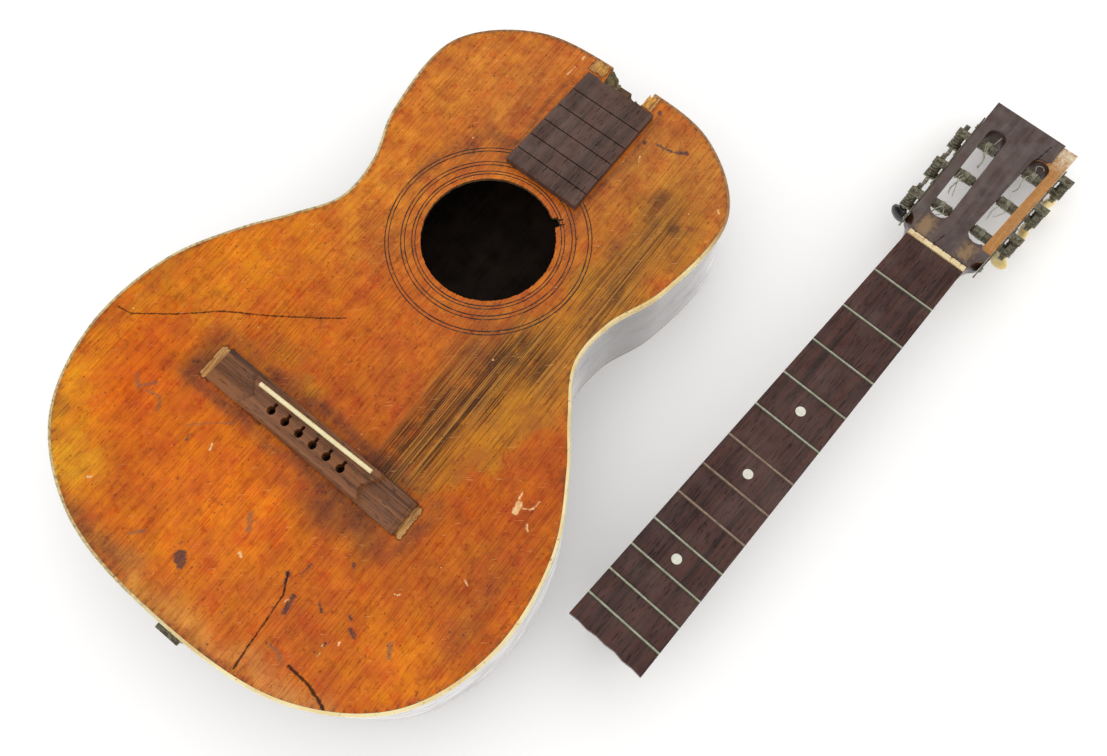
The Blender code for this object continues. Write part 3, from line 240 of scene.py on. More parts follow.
def nearest_mark(recipe: Recipe, where: Socket, marks: Marks) -> Socket:
    """Distance to the nearest of some bent lines, less each line's half width.

    For each straight part from a to b the point's share along it is clamped to 0..1, and the
    distance is the length from the point to a + share (b - a).

    Args:
        recipe: the material.
        where: the place on the surface, in millimetres.
        marks: the lines.

    Returns:
        The distance in millimetres, negative on a mark.
    """
    nearest: Socket | float = 1000.0
    for points, half in marks:
        for (ax, ay), (bx, by) in zip(points[:-1], points[1:]):
            along = Vector((bx - ax, by - ay, 0.0))
            unit = along / along.length_squared
            start = recipe.add("VectorMath", where, (ax, ay, 0.0), operation="SUBTRACT")
            share = recipe.add("VectorMath", start, tuple(unit), out="Value", operation="DOT_PRODUCT")
            share = recipe.add("Math", recipe.add("Math", share, 0.0, operation="MAXIMUM"), 1.0,
                               operation="MINIMUM")
            foot = recipe.add("VectorMath", tuple(along), share, operation="SCALE")
            gap = recipe.add("VectorMath", start, foot, out="Value", operation="DISTANCE")
            nearest = recipe.add("Math", recipe.add("Math", gap, half, operation="SUBTRACT"), nearest,
                                 operation="MINIMUM")
    return nearest


@dataclass(frozen=True)
class WornSpruce:
    """Spruce under an amber spirit varnish, worn through, cracked and dirty, with painted shade next to the
    bridge and the fingerboard.

    Close straight grain along the body, a soft sheen, dull where the varnish has gone.
    """

    pale: str = "#D2A262"
    streak: str = "#2C1A10"
    # grime: colour of the dirt, and of the painted shade next to the bridge and the fingerboard
    grime: str = "#46281A"
    scrape: str = "#7C5A44"
    ring_width: float = 1.25

    def material(self) -> bpy.types.Material:
        """Colours come from the paint attribute; marks and grain are worked out in place."""
        r = Recipe("worn_spruce_varnish")
        paint = r.add("Attribute", attribute_name="paint", out="Color")
        wear = r.add("Attribute", attribute_name="wear", out="Color")
        worn = wear.node.outputs["Alpha"]
        parts = r.add("SeparateColor", wear, out="Red").node.outputs
        # The wear's blue channel is dirt, and painted shade next to the bridge and the fingerboard.
        streaky, bare, grime_and_shade = parts["Red"], parts["Green"], parts["Blue"]

        grain = r.pattern((self.ring_width, 80.0, 30.0), 3.0, 0.6, 0.47, 0.6)
        fine = r.pattern((0.45, 16.0, 30.0), 2.0, 0.6, 0.48, 0.62)
        cloud = r.pattern((15.0, 15.0, 20.0), 5.0, 0.68, 0.36, 0.64)
        patchy = r.pattern((2.4, 3.0, 6.0), 5.0, 0.74, 0.38, 0.6)
        warm = r.add("Mix", 1.0, paint, r.add("Mix", cloud, "#FFF6DC", "#E09A6C", data_type="RGBA"),
                     data_type="RGBA", blend_type="MULTIPLY")
        colour = r.add("Mix", 0.6, paint, warm, data_type="RGBA")
        mottle = r.pattern((4.5, 5.5, 8.0), 6.0, 0.75, 0.53, 0.64, origin=(0.05, 0.02, 0.0))
        red = r.pattern((9.0, 12.0, 8.0), 6.0, 0.75, 0.54, 0.6, origin=(0.15, 0.12, 0.0))
        for share, depth, tint in ((mottle, 0.36, "#9A4E30"), (red, 0.34, "#F08A50"),
                                   (grain, 0.30, "#B27248"), (fine, 0.30, "#B47A50")):
            deeper = r.add("Mix", 1.0, colour, tint, data_type="RGBA", blend_type="MULTIPLY")
            colour = r.coat(colour, deeper, share, depth)

        through = r.add("Math", mottle, -0.3, operation="MULTIPLY")
        through = r.add("MapRange", r.add("Math", worn, through, operation="ADD"), 0.34, 0.52)
        wood = r.add("Mix", cloud, "#C8801A", "#A9641C", data_type="RGBA")
        lines = r.pattern((0.85, 90.0, 30.0), 3.0, 0.6, 0.5, 0.565)
        broken = r.pattern((3.0, 26.0, 30.0), 4.0, 0.65, 0.42, 0.56)
        wood = r.coat(wood, "#4A290E", lines, r.add("Math", broken, 0.8, operation="MULTIPLY"))
        colour = r.coat(colour, wood, through, 0.7)

        smoky = r.pattern((9.0, 16.0, 9.0), 5.0, 0.7, 0.3, 0.52, origin=(0.02, 0.05, 0.0))
        wash = r.add("Math", streaky, smoky, operation="MULTIPLY")
        colour = r.coat(colour, r.add("Mix", cloud, "#74421E", "#4C2A18", data_type="RGBA"), wash, 0.8)
        lights = r.pattern((0.9, 140.0, 30.0), 2.0, 0.5, 0.49, 0.55, origin=(0.3, 0.2, 0.0))
        wide = r.add("Math", streaky, 1.7, operation="MULTIPLY")
        shown = r.add("Math", r.add("Math", wide, 1.0, operation="MINIMUM"), lights, operation="MULTIPLY")
        colour = r.coat(colour, "#BC8236", shown, 0.66)
        dark = r.add("Math", r.add("Math", wide, 1.0, operation="MINIMUM"), lines, operation="MULTIPLY")
        colour = r.coat(colour, self.streak, dark, 0.62)

        # Dirt and painted shade: darkens the top by the grime share, which next to the bridge and the
        # fingerboard stands in for shade.
        clouded = r.add("Math", cloud, 0.35, operation="MULTIPLY")
        dirt = r.add("Math", r.add("Math", mottle, 0.25, operation="MULTIPLY"), 0.5, operation="ADD")
        dirt = r.add("Math", clouded, dirt, operation="ADD")
        dirt = r.add("Math", grime_and_shade, dirt, operation="MULTIPLY")
        colour = r.coat(colour, self.grime, dirt, 0.88)
        strands = r.pattern((0.8, 14.0, 6.0), 4.0, 0.65, 0.38, 0.62)
        raw = r.add("Mix", strands, self.pale, "#8A5A2C", data_type="RGBA")
        raw = r.coat(raw, "#B4722C", cloud, 0.45)
        soft_edge = r.add("Math", bare, r.add("Math", patchy, 0.3, operation="MULTIPLY"), operation="ADD")
        border = r.add("MapRange", soft_edge, 0.3, 0.75)
        colour = r.coat(colour, "#3A2212", border, 0.65)
        edge = r.add("MapRange", soft_edge, 0.88, 1.02)
        colour = r.add("Mix", edge, colour, raw, data_type="RGBA")

        warp = r.add("TexNoise", r.add("Mapping", r.objects, Scale=(2.4 * MM, 2.4 * MM, 2.4 * MM),
                                       vector_type="TEXTURE"), 1.0, 6.0, 0.78, out="Color")
        warp = r.add("VectorMath", warp, (0.5, 0.5, 0.5), operation="SUBTRACT")
        warp = r.add("VectorMath", warp, 5.0, operation="SCALE")
        where = r.add("VectorMath", r.add("Mapping", r.objects, Scale=(MM, MM, 1000.0),
                                          vector_type="TEXTURE"), warp, operation="ADD")
        flat = r.add("VectorMath", where, (1.0, 1.0, 0.0), operation="MULTIPLY")
        masks = []
        calm = r.add("VectorMath", warp, -0.7, operation="SCALE")
        calm = r.add("VectorMath", where, calm, operation="ADD")
        calm = r.add("VectorMath", calm, (1.0, 1.0, 0.0), operation="MULTIPLY")
        for marks, soft, spot in ((SCRAPES, 1.4, flat), (STAINS, 1.1, flat), (CHIPS, 0.3, flat),
                                  (CRACKS, 0.6, calm)):
            ragged = r.add("Math", patchy, soft, operation="MULTIPLY")
            away = r.add("Math", nearest_mark(r, spot, marks), ragged, operation="ADD")
            masks.append(r.add("MapRange", away, soft, 0.0))
        scrape, stain, chip, crack = masks
        colour = r.coat(colour, self.scrape, scrape, 0.62)
        for size, origin, far, near, depth, tone in (
                ((5.0, 6.5, 9.0), (0.0, 0.0, 0.0), 0.17, 0.06, 0.70, "#5A240F"),
                ((12.0, 10.0, 9.0), (0.1, 0.3, 0.0), 0.115, 0.050, 0.75, "#45302E"),
                ((12.0, 16.0, 9.0), (0.2, 0.1, 0.0), 0.060, 0.034, 0.95, "#EDBE82")):
            spots = r.add("TexVoronoi", r.add("Mapping", r.objects, Location=origin,
                                              Scale=tuple(s * MM for s in size), vector_type="TEXTURE"), 1.0,
                          out="Distance")
            ragged = r.add("Math", patchy, 0.06, operation="MULTIPLY")
            spots = r.add("MapRange", r.add("Math", spots, ragged, operation="ADD"), far, near)
            colour = r.coat(colour, tone, spots, depth)
        dashes = r.pattern((0.8, 7.0, 30.0), 2.0, 0.5, 0.67, 0.72, turn=(0.0, 0.0, 0.05))
        nicks = r.pattern((9.0, 0.7, 30.0), 2.0, 0.5, 0.69, 0.74, turn=(0.0, 0.0, 0.75))
        swipes = r.pattern((0.7, 10.0, 30.0), 2.0, 0.5, 0.7, 0.75, turn=(0.0, 0.0, 0.7))
        rusty = r.add("Mix", patchy, "#2B2C38", "#5A4038", data_type="RGBA")
        fresh = r.add("Mix", patchy, "#F6CE98", "#D9A066", data_type="RGBA")
        for tone, share, depth in (("#43200F", dashes, 0.7), ("#ECB070", nicks, 0.45),
                                   ("#5C2E16", swipes, 0.55), (rusty, stain, 0.82),
                                   (fresh, chip, 0.95), ("#22130C", crack, 0.88)):
            colour = r.coat(colour, tone, share, depth)

        bared = r.add("Math", edge, 0.4, operation="MULTIPLY")
        dull = r.add("Math", r.add("Math", dirt, 0.28, operation="MULTIPLY"), bared, operation="ADD")
        dull = r.add("Math", dull, 0.18, operation="ADD")
        clouded = r.add("Math", cloud, 0.12, operation="MULTIPLY")
        rough = r.add("Math", clouded, dull, operation="ADD", use_clamp=True)
        waves = r.pattern((45.0, 60.0, 50.0), 3.0, 0.5, 0.2, 0.8)
        relief = r.add("Bump", Height=waves, Distance=0.5 * MM, Strength=0.6)
        relief = r.add("Bump", Height=grain, Distance=-0.03 * MM, Strength=0.8, Normal=relief)
        relief = r.add("Bump", Height=dark, Distance=-0.15 * MM, Strength=0.7, Normal=relief)
        return r.finish(Base_Color=colour, Roughness=rough, Normal=relief, IOR=1.38)


@dataclass(frozen=True)
class RawWood:
    """Unfinished wood that has darkened with age: straight grain, no gloss."""

    name: str
    light: str
    dark: str
    grain: tuple[float, float, float] = (30.0, 1.4, 1.4)
    turn: tuple[float, float, float] = (0.0, 0.0, 0.0)

    def material(self) -> bpy.types.Material:
        """Two tones in long fibres, with dust in patches."""
        r = Recipe(self.name)
        fibre = r.pattern(self.grain, 4.0, 0.6, 0.35, 0.65, turn=self.turn)
        dust = r.pattern((14.0, 14.0, 14.0), 4.0, 0.6, 0.4, 0.65)
        colour = r.add("Mix", fibre, self.light, self.dark, data_type="RGBA")
        colour = r.coat(colour, "#4A3524", dust, 0.35)
        relief = r.add("Bump", Height=fibre, Distance=0.12 * MM)
        return r.finish(Base_Color=colour, Roughness=0.82, Normal=relief)


@dataclass(frozen=True)
class DarkVarnish:
    """Nearly black varnish on the bent sides and the back: glossy, with fine scuffs."""

    base: str = "#2A1B14"
    warm: str = "#4A2A1A"
    scuff: str = "#6E5E50"

    def material(self) -> bpy.types.Material:
        """Dark brown figure along the sides under a gloss that has gone cloudy in places, lighter towards the
        foot as a painted reflection of the white table.
        """
        r = Recipe("dark_side_varnish")
        figure = r.pattern((60.0, 60.0, 3.0), 4.0, 0.6, 0.4, 0.7)
        cloud = r.pattern((26.0, 26.0, 18.0), 4.0, 0.65, 0.42, 0.7)
        scuffs = r.pattern((22.0, 22.0, 0.8), 3.0, 0.6, 0.66, 0.74, turn=(0.3, 0.2, 0.0))
        colour = r.add("Mix", figure, self.base, self.warm, data_type="RGBA")
        # Painted reflection: the lowest few millimetres are lightened, standing in for the white table
        # mirrored in the gloss.
        height = r.add("SeparateXYZ", r.add("Mapping", r.objects, Scale=(MM, MM, MM), vector_type="TEXTURE"),
                       out="Z")
        foot = r.add("MapRange", height, 7.0, 2.5)
        colour = r.coat(colour, "#6B4630", foot, 0.7)
        colour = r.coat(colour, self.scuff, scuffs, 0.5)
        clouded = r.add("Math", cloud, 0.14, operation="MULTIPLY")
        rough = r.add("Math", r.add("Math", scuffs, 0.3, operation="MULTIPLY"), 0.12, operation="ADD")
        rough = r.add("Math", clouded, rough, operation="ADD")
        waves = r.pattern((40.0, 40.0, 40.0), 2.0, 0.5, 0.2, 0.8)
        relief = r.add("Bump", Height=waves, Distance=0.35 * MM, Strength=0.4)
        return r.finish(Base_Color=colour, Roughness=rough, Normal=relief, IOR=2.0)


@dataclass(frozen=True)
class Celluloid:
    """Cream celluloid gone yellow, with dirt in its joints and dark nicks."""

    cream: str = "#F0DFA8"
    yellow: str = "#D9B468"
    dirt: str = "#5A4028"

    def material(self) -> bpy.types.Material:
        """Even cream that yellows in patches; grime bites in from place to place."""
        r = Recipe("cream_celluloid")
        patch = r.pattern((30.0, 30.0, 30.0), 3.0, 0.6, 0.4, 0.65)
        nick = r.pattern((4.0, 4.0, 1.2), 4.0, 0.7, 0.6, 0.68)
        place = r.add("SeparateXYZ", r.add("Mapping", r.objects, Scale=(MM, MM, MM), vector_type="TEXTURE"),
                      out="X").node.outputs
        mottle = r.pattern((3.0, 3.0, 3.0), 4.0, 0.7, 0.42, 0.62)
        left = r.add("MapRange", place["X"], 40.0, -40.0)
        neck = r.add("MapRange", place["Y"], 225.0, 262.0)
        colour = r.coat(self.cream, self.yellow, patch, 0.7)
        depth = r.add("Math", r.add("Math", mottle, 0.55, operation="MULTIPLY"), 0.3, operation="ADD")
        colour = r.coat(colour, "#86693E", left, depth)
        colour = r.coat(colour, r.add("Mix", mottle, "#A86C34", "#7A4A26", data_type="RGBA"), neck, 0.88)
        colour = r.coat(colour, self.dirt, nick, 0.7)
        return r.finish(Base_Color=colour, Roughness=0.38, Normal=r.add("Bump", Height=nick,
                                                                        Distance=0.08 * MM), IOR=1.5)


@dataclass(frozen=True)
class Rosewood:
    """Dry dark rosewood: long streaks from near black to red brown, and open pores."""

    name: str
    middle: str
    dark: str
    red: str
    turn: float = 0.0
    origin: tuple[float, float, float] = (0.0, 0.0, 0.0)
    rough: float = 0.52
    along: bool = True
    dust: float = 0.0

    def streaks(self, recipe: Recipe, size: tuple[float, float], *shape: float) -> Socket:
        """A pattern drawn out along the strings, or across them where along is false.

        Args:
            recipe: the material.
            size: a streak's width and length in millimetres.
            shape: the pattern's detail, roughness, low and high.

        Returns:
            The pattern.
        """
        across, length = size
        sizes = (across, length, across * 3) if self.along else (length, across, across * 3)
        return recipe.pattern(sizes, *shape, turn=(0.0, 0.0, self.turn), origin=self.origin)

    def material(self) -> bpy.types.Material:
        """Wide and thin streaks, open pores, and pale wear in patches."""
        r = Recipe(self.name)
        wide = self.streaks(r, (7.0, 190.0), 3.0, 0.6, 0.36, 0.64)
        thin = self.streaks(r, (1.5, 70.0), 4.0, 0.6, 0.42, 0.66)
        pores = self.streaks(r, (0.7, 7.0), 2.0, 0.5, 0.60, 0.68)
        worn = r.pattern((24.0, 24.0, 24.0), 4.0, 0.6, 0.4, 0.66)
        colour = r.add("Mix", wide, self.dark, self.middle, data_type="RGBA")
        colour = r.coat(colour, self.red, thin, 0.6)
        colour = r.coat(colour, "#1A100D", pores, 0.75)
        colour = r.coat(colour, "#8E7B72", worn, 0.12 + self.dust)
        rough = r.add("Math", r.add("Math", worn, 0.16, operation="MULTIPLY"), self.rough, operation="ADD")
        return r.finish(Base_Color=colour, Roughness=rough, Normal=r.add("Bump", Height=pores,
                                                                         Distance=-0.1 * MM), IOR=1.5)


@dataclass(frozen=True)
class HeadPlace:
    """Where the head's upper face is: its origin and its turn."""

    origin: tuple[float, float, float] = (0.2292, 0.3365, 0.0565)
    turn: tuple[float, float, float] = (-0.200713, 0.0, -0.069464)


@dataclass(frozen=True)
class NeckWood:
    """Brown varnished neck whose treble rail is bare, light orange wood with raw torn spots."""

    varnish: str = "#4A2A1B"
    dark: str = "#2A1710"
    bare: str = "#C38A4A"
    raw: str = "#EADCC2"

    def material(self) -> bpy.types.Material:
        """The bare wood is where the head's veneer has split away."""
        r = Recipe("neck_wood")
        place = HeadPlace()
        local = r.add("Mapping", r.objects, place.origin, place.turn, (MM, MM, MM), vector_type="TEXTURE")
        cut = r.add("SeparateXYZ", local, out="X").node.outputs
        fibre = r.pattern((1.3, 60.0, 3.0), 4.0, 0.6, 0.36, 0.66, turn=place.turn, origin=place.origin)
        cloud = r.pattern((16.0, 30.0, 16.0), 4.0, 0.6, 0.38, 0.64)
        colour = r.add("Mix", cloud, self.dark, self.varnish, data_type="RGBA")
        colour = r.coat(colour, "#6B3E22", fibre, 0.35)
        top = r.add("MapRange", cut["Z"], -2.3, -1.9)
        treble = r.add("MapRange", cut["X"], 12.0, 12.6)
        high = r.add("MapRange", cut["Y"], 15.0, 18.0)
        rail = r.add("Math", top, r.add("Math", treble, high, operation="MULTIPLY"), operation="MULTIPLY",
                     use_clamp=True)
        patchy = r.pattern((3.0, 5.0, 3.0), 5.0, 0.75, 0.4, 0.6, turn=place.turn, origin=place.origin)
        tip = r.add("Math", patchy, 16.0, operation="MULTIPLY")
        tip = r.add("MapRange", r.add("Math", cut["Y"], tip, operation="ADD"), 134.0, 139.0)
        wood = r.coat(self.bare, "#A0662C", fibre, 0.6)
        wood = r.coat(wood, "#7E4A22", patchy, 0.3)
        torn = r.add("Mix", patchy, self.raw, "#B58A58", data_type="RGBA")
        wood = r.coat(wood, torn, tip, 0.8)
        colour = r.add("Mix", rail, colour, wood, data_type="RGBA")
        bared = r.add("Math", rail, 0.35, operation="MULTIPLY")
        rough = r.add("Math", r.add("Math", cloud, 0.15, operation="MULTIPLY"), 0.3, operation="ADD")
        rough = r.add("Math", bared, rough, operation="ADD")
        relief = r.add("Bump", Height=fibre, Distance=0.05 * MM)
        return r.finish(Base_Color=colour, Roughness=rough, Normal=relief, IOR=1.5)


@dataclass(frozen=True)
class HeadVeneer:
    """Grey-brown rosewood on the head's face: dull, its ramps under the slots rubbed to light brown."""

    middle: str = "#64544E"
    dark: str = "#4A3B38"
    rubbed: str = "#9A7A52"

    def material(self) -> bpy.types.Material:
        """Long streaks towards the tip; two rubbed ovals at the low ends of the slots and a split."""
        r = Recipe("head_veneer_rosewood")
        place = HeadPlace()
        where = {"turn": place.turn, "origin": place.origin}
        wide = r.pattern((6.0, 120.0, 20.0), 3.0, 0.6, 0.36, 0.64, **where)
        thin = r.pattern((1.2, 60.0, 6.0), 4.0, 0.6, 0.44, 0.66, **where)
        cloud = r.pattern((12.0, 16.0, 12.0), 5.0, 0.65, 0.4, 0.64, **where)
        patchy = r.pattern((2.4, 3.4, 3.0), 5.0, 0.7, 0.38, 0.62, **where)
        colour = r.add("Mix", wide, self.dark, self.middle, data_type="RGBA")
        colour = r.coat(colour, "#5C3A30", thin, 0.5)
        colour = r.coat(colour, "#7C7470", cloud, 0.3)
        flat = r.add("VectorMath", r.add("Mapping", r.objects, place.origin, place.turn, (MM, MM, MM),
                                         vector_type="TEXTURE"), (1.0, 1.0, 0.0), operation="MULTIPLY")
        ramps = ((((-15.0, 11.0), (-15.5, 20.0)), 4.2), (((15.0, 13.0), (15.5, 21.0)), 3.6))
        edge = ((((12.6, 120.0), (14.5, 140.0)), 0.5), (((-4.0, 6.0), (-2.0, 18.0)), 0.4))
        for marks, soft, depth, tone in ((ramps, 5.0, 0.80, self.rubbed), (edge, 0.6, 0.85, "#241A16")):
            ragged = r.add("Math", patchy, soft, operation="MULTIPLY")
            away = r.add("Math", nearest_mark(r, flat, marks), ragged, operation="ADD")
            share = r.add("MapRange", away, soft, 0.0)
            colour = r.coat(colour, tone, share, depth)
        rough = r.add("Math", r.add("Math", cloud, 0.16, operation="MULTIPLY"), 0.42, operation="ADD")
        relief = r.add("Bump", Height=thin, Distance=0.04 * MM)
        return r.finish(Base_Color=colour, Roughness=rough, Normal=relief, IOR=1.5)


@dataclass(frozen=True)
class Bone:
    """Old bone: warm cream, darker where fingers and strings have left dirt."""

    name: str
    cream: str
    brown: str
    dirt: float = 0.35

    def material(self) -> bpy.types.Material:
        """Cream with brown patches and short dark nicks."""
        r = Recipe(self.name)
        patch = r.pattern((7.0, 5.0, 5.0), 4.0, 0.65, 0.44, 0.66)
        nick = r.pattern((1.2, 2.5, 2.5), 3.0, 0.6, 0.64, 0.72)
        colour = r.coat(self.cream, self.brown, patch, self.dirt)
        colour = r.coat(colour, "#4E3622", nick, 0.7)
        relief = r.add("Bump", Height=patch, Distance=0.12 * MM)
        return r.finish(Base_Color=colour, Roughness=0.42, Normal=relief, Subsurface_Weight=0.05)


@dataclass(frozen=True)
class FretMetal:
    """Drawn nickel silver, polished by the strings, green or brown where it has tarnished."""

    name: str
    bright: str
    tarnish: str
    share: float
    rough: float
    metal: float = 0.7

    def material(self) -> bpy.types.Material:
        """Tarnish in patches along the crown, and painted shade where its face leans over towards the foot.
        """
        r = Recipe(self.name)
        patch = r.pattern((3.2, 3.2, 3.2), 4.0, 0.65, 0.4, 0.62)
        # Painted shade: the crown is darkened where its face turns away from up.
        lean = r.add("SeparateXYZ", r.add("NewGeometry", out="Normal"), out="Z")
        foot = r.add("MapRange", lean, 0.94, 0.8)
        colour = r.coat(self.bright, self.tarnish, patch, self.share)
        colour = r.coat(colour, "#4E4638", foot, 0.8)
        rough = r.add("Math", r.add("Math", patch, 0.3, operation="MULTIPLY"), self.rough, operation="ADD")
        relief = r.add("Bump", Height=patch, Distance=0.03 * MM)
        return r.finish(Base_Color=colour, Roughness=rough, Metallic=self.metal, Normal=relief)


@dataclass(frozen=True)
class CorrodedMetal:
    """Nickel-plated brass, corroded: dull grey green, brown in the hollows, rough."""

    name: str = "corroded_tuner_metal"
    plate: str = "#9C9680"
    brown: str = "#4E4230"
    green: str = "#7E8466"

    def material(self) -> bpy.types.Material:
        """Plating shows only in small worn spots between the crusts."""
        r = Recipe(self.name)
        crust = r.pattern((2.4, 2.4, 2.4), 5.0, 0.7, 0.38, 0.6)
        spots = r.pattern((5.0, 5.0, 5.0), 4.0, 0.6, 0.5, 0.66, origin=(0.2, 0.1, 0.0))
        colour = r.add("Mix", crust, self.plate, self.brown, data_type="RGBA")
        colour = r.coat(colour, self.green, spots, 0.55)
        metal = r.add("Math", 0.45, r.add("Math", crust, 0.4, operation="MULTIPLY"), operation="SUBTRACT")
        rough = r.add("Math", r.add("Math", crust, 0.3, operation="MULTIPLY"), 0.38, operation="ADD")
        return r.finish(Base_Color=colour, Roughness=rough, Metallic=metal, Normal=r.add("Bump", Height=crust,
                                                                                         Distance=0.1 * MM))


@dataclass(frozen=True)
class MouldedButton:
    """Moulded button: smooth and a little translucent, with fine scratches."""

    name: str
    base: str
    shade: str
    soft: float

    def material(self) -> bpy.types.Material:
        """Slow clouds of a second tone under a satin gloss."""
        r = Recipe(self.name)
        cloud = r.pattern((7.0, 7.0, 7.0), 3.0, 0.55, 0.36, 0.66)
        marks = r.pattern((0.5, 6.0, 0.5), 2.0, 0.5, 0.6, 0.7)
        colour = r.add("Mix", cloud, self.base, self.shade, data_type="RGBA")
        rough = r.add("Math", r.add("Math", marks, 0.2, operation="MULTIPLY"), 0.28, operation="ADD")
        return r.finish(Base_Color=colour, Roughness=rough, Subsurface_Weight=self.soft,
                        Subsurface_Scale=2 * MM, IOR=1.5)


@dataclass(frozen=True)
class Pearl:
    """Mother of pearl, greyed by wear: pale, with faint clouds of pink and green."""

    def material(self) -> bpy.types.Material:
        """Three pale tones, satin."""
        r = Recipe("worn_pearl")
        cloud = r.pattern((2.2, 2.2, 2.2), 3.0, 0.6, 0.38, 0.62)
        other = r.pattern((1.6, 1.6, 1.6), 3.0, 0.6, 0.42, 0.62, origin=(0.1, 0.0, 0.0))
        colour = r.add("Mix", cloud, "#E4E2D2", "#CBD3C2", data_type="RGBA")
        colour = r.coat(colour, "#DCC6BA", other, 0.4)
        return r.finish(Base_Color=colour, Roughness=0.28, IOR=1.6)


@dataclass(frozen=True)
class RingInlay:
    """Blackened wood line let into the top, worn so that amber shows through in places."""

    def material(self) -> bpy.types.Material:
        """Near black, broken up by the colour of the varnish."""
        r = Recipe("ring_inlay")
        worn = r.pattern((4.0, 4.0, 4.0), 4.0, 0.7, 0.5, 0.66)
        colour = r.coat("#3A2A20", "#9A5E2E", worn, 0.6)
        return r.finish(Base_Color=colour, Roughness=0.45, IOR=1.5)


@dataclass(frozen=True)
class Wire:
    """Old steel string wire: dull grey with rust."""

    def material(self) -> bpy.types.Material:
        """Grey with short rusty stretches."""
        r = Recipe("old_string_wire")
        rust = r.pattern((3.0, 3.0, 3.0), 4.0, 0.6, 0.44, 0.6)
        colour = r.coat("#C6C5AC", "#6A5840", rust, 0.55)
        return r.finish(Base_Color=colour, Roughness=0.42, Metallic=0.3)


# ---------------------------------------------------------------------------------------------
# Shapes
# ---------------------------------------------------------------------------------------------

def lattice_noise(x: np.ndarray, y: np.ndarray, width: float, length: float, seed: int) -> np.ndarray:
    """Smooth random values from 0 to 1 on a lattice of cells.

    Corner values are blended with the smooth step 3t^2 - 2t^3 along each axis.

    Args:
        x: places across.
        y: places along.
        width: a cell's size across.
        length: a cell's size along.
        seed: the seed of the corner values.

    Returns:
        One value for each place.
    """
    corners = np.random.default_rng(seed).random((64, 64))
    u, v = x / width, y / length
    i, j = np.floor(u).astype(int), np.floor(v).astype(int)
    s, t = u - i, v - j
    s, t = s * s * (3 - 2 * s), t * t * (3 - 2 * t)
    low = corners[i % 64, j % 64] * (1 - s) + corners[(i + 1) % 64, j % 64] * s
    high = corners[i % 64, (j + 1) % 64] * (1 - s) + corners[(i + 1) % 64, (j + 1) % 64] * s
    return low * (1 - t) + high * t


def grid_faces(rows: int, columns: int, ring_rows: bool, ring_columns: bool) -> np.ndarray:
    """Quads between neighbours of a grid, joined at its ends where it is a ring."""
    i = np.arange(rows if ring_rows else rows - 1)[:, None]
    j = np.arange(columns if ring_columns else columns - 1)[None, :]
    i2, j2 = (i + 1) % rows, (j + 1) % columns
    corners = [i * columns + j, i2 * columns + j, i2 * columns + j2, i * columns + j2]
    return np.stack([c.ravel() for c in corners], axis=1)


@dataclass
class Surface:
    """A mesh in the making: grids of points and the finish of each part."""

    name: str
    body: str = BODY
    slot: str = ""
    verts: list = field(default_factory=list)
    faces: list = field(default_factory=list)
    marks: list = field(default_factory=list)
    count: int = 0

    def grid(self, points: np.ndarray, ring_rows: bool = False, ring_columns: bool = False,
             caps: bool = False, finish: int = 0) -> None:
        """Add a grid of points as quads.

        Args:
            points: an array of rows, columns and x, y, z.
            ring_rows: the last row joins the first.
            ring_columns: the last column joins the first.
            caps: close the first and the last row.
            finish: which of the piece's materials it takes.
        """
        rows, columns = points.shape[:2]
        quads = (grid_faces(rows, columns, ring_rows, ring_columns) + self.count).tolist()
        if caps:
            first = np.arange(columns) + self.count
            quads += [first.tolist(), (first[::-1] + (rows - 1) * columns).tolist()]
        self.verts.append(points.reshape(-1, 3))
        self.faces += quads
        self.marks += [finish] * len(quads)
        self.count += rows * columns

    def block(self, upper: np.ndarray, lower: np.ndarray) -> None:
        """Add a closed lump: an upper and a lower grid of points, and the four walls between them."""
        self.grid(upper)
        self.grid(lower[:, ::-1])
        for a, b in ((upper[0], lower[0]), (lower[-1], upper[-1]), (lower[:, 0], upper[:, 0]),
                     (upper[:, -1], lower[:, -1])):
            self.grid(np.stack((a, b)))

    def build(self, materials: list, sharp: float = SHARP_ANGLE,
              replaces: tuple[str, ...] = ()) -> bpy.types.Object:
        """Make the object with its normals outwards, ride it on its body and give it its finish.

        Args:
            materials: the piece's materials, by the grids' finish numbers.
            sharp: edges sharper than this angle stay sharp, in radians.
            replaces: the solids that it stands for.

        Returns:
            The object.
        """
        mesh = bpy.data.meshes.new(self.name)
        mesh.from_pydata(np.vstack(self.verts).tolist(), [], self.faces)
        mesh.polygons.foreach_set("material_index", np.array(self.marks, dtype=np.int32))
        work = bmesh.new()
        work.from_mesh(mesh)
        bmesh.ops.remove_doubles(work, verts=work.verts, dist=1e-7)
        bmesh.ops.recalc_face_normals(work, faces=work.faces)
        work.to_mesh(mesh)
        work.free()
        for material in materials:
            mesh.materials.append(material)
        mesh.shade_smooth()
        mesh.set_sharp_from_angle(angle=sharp)
        piece = bpy.data.objects.new(self.name, mesh)
        bpy.context.scene.collection.objects.link(piece)
        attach(piece, self.body)
        if replaces:
            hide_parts(*replaces)
        LOG.info("%s: %d faces on %s", self.name, len(mesh.polygons), self.body)
        return piece


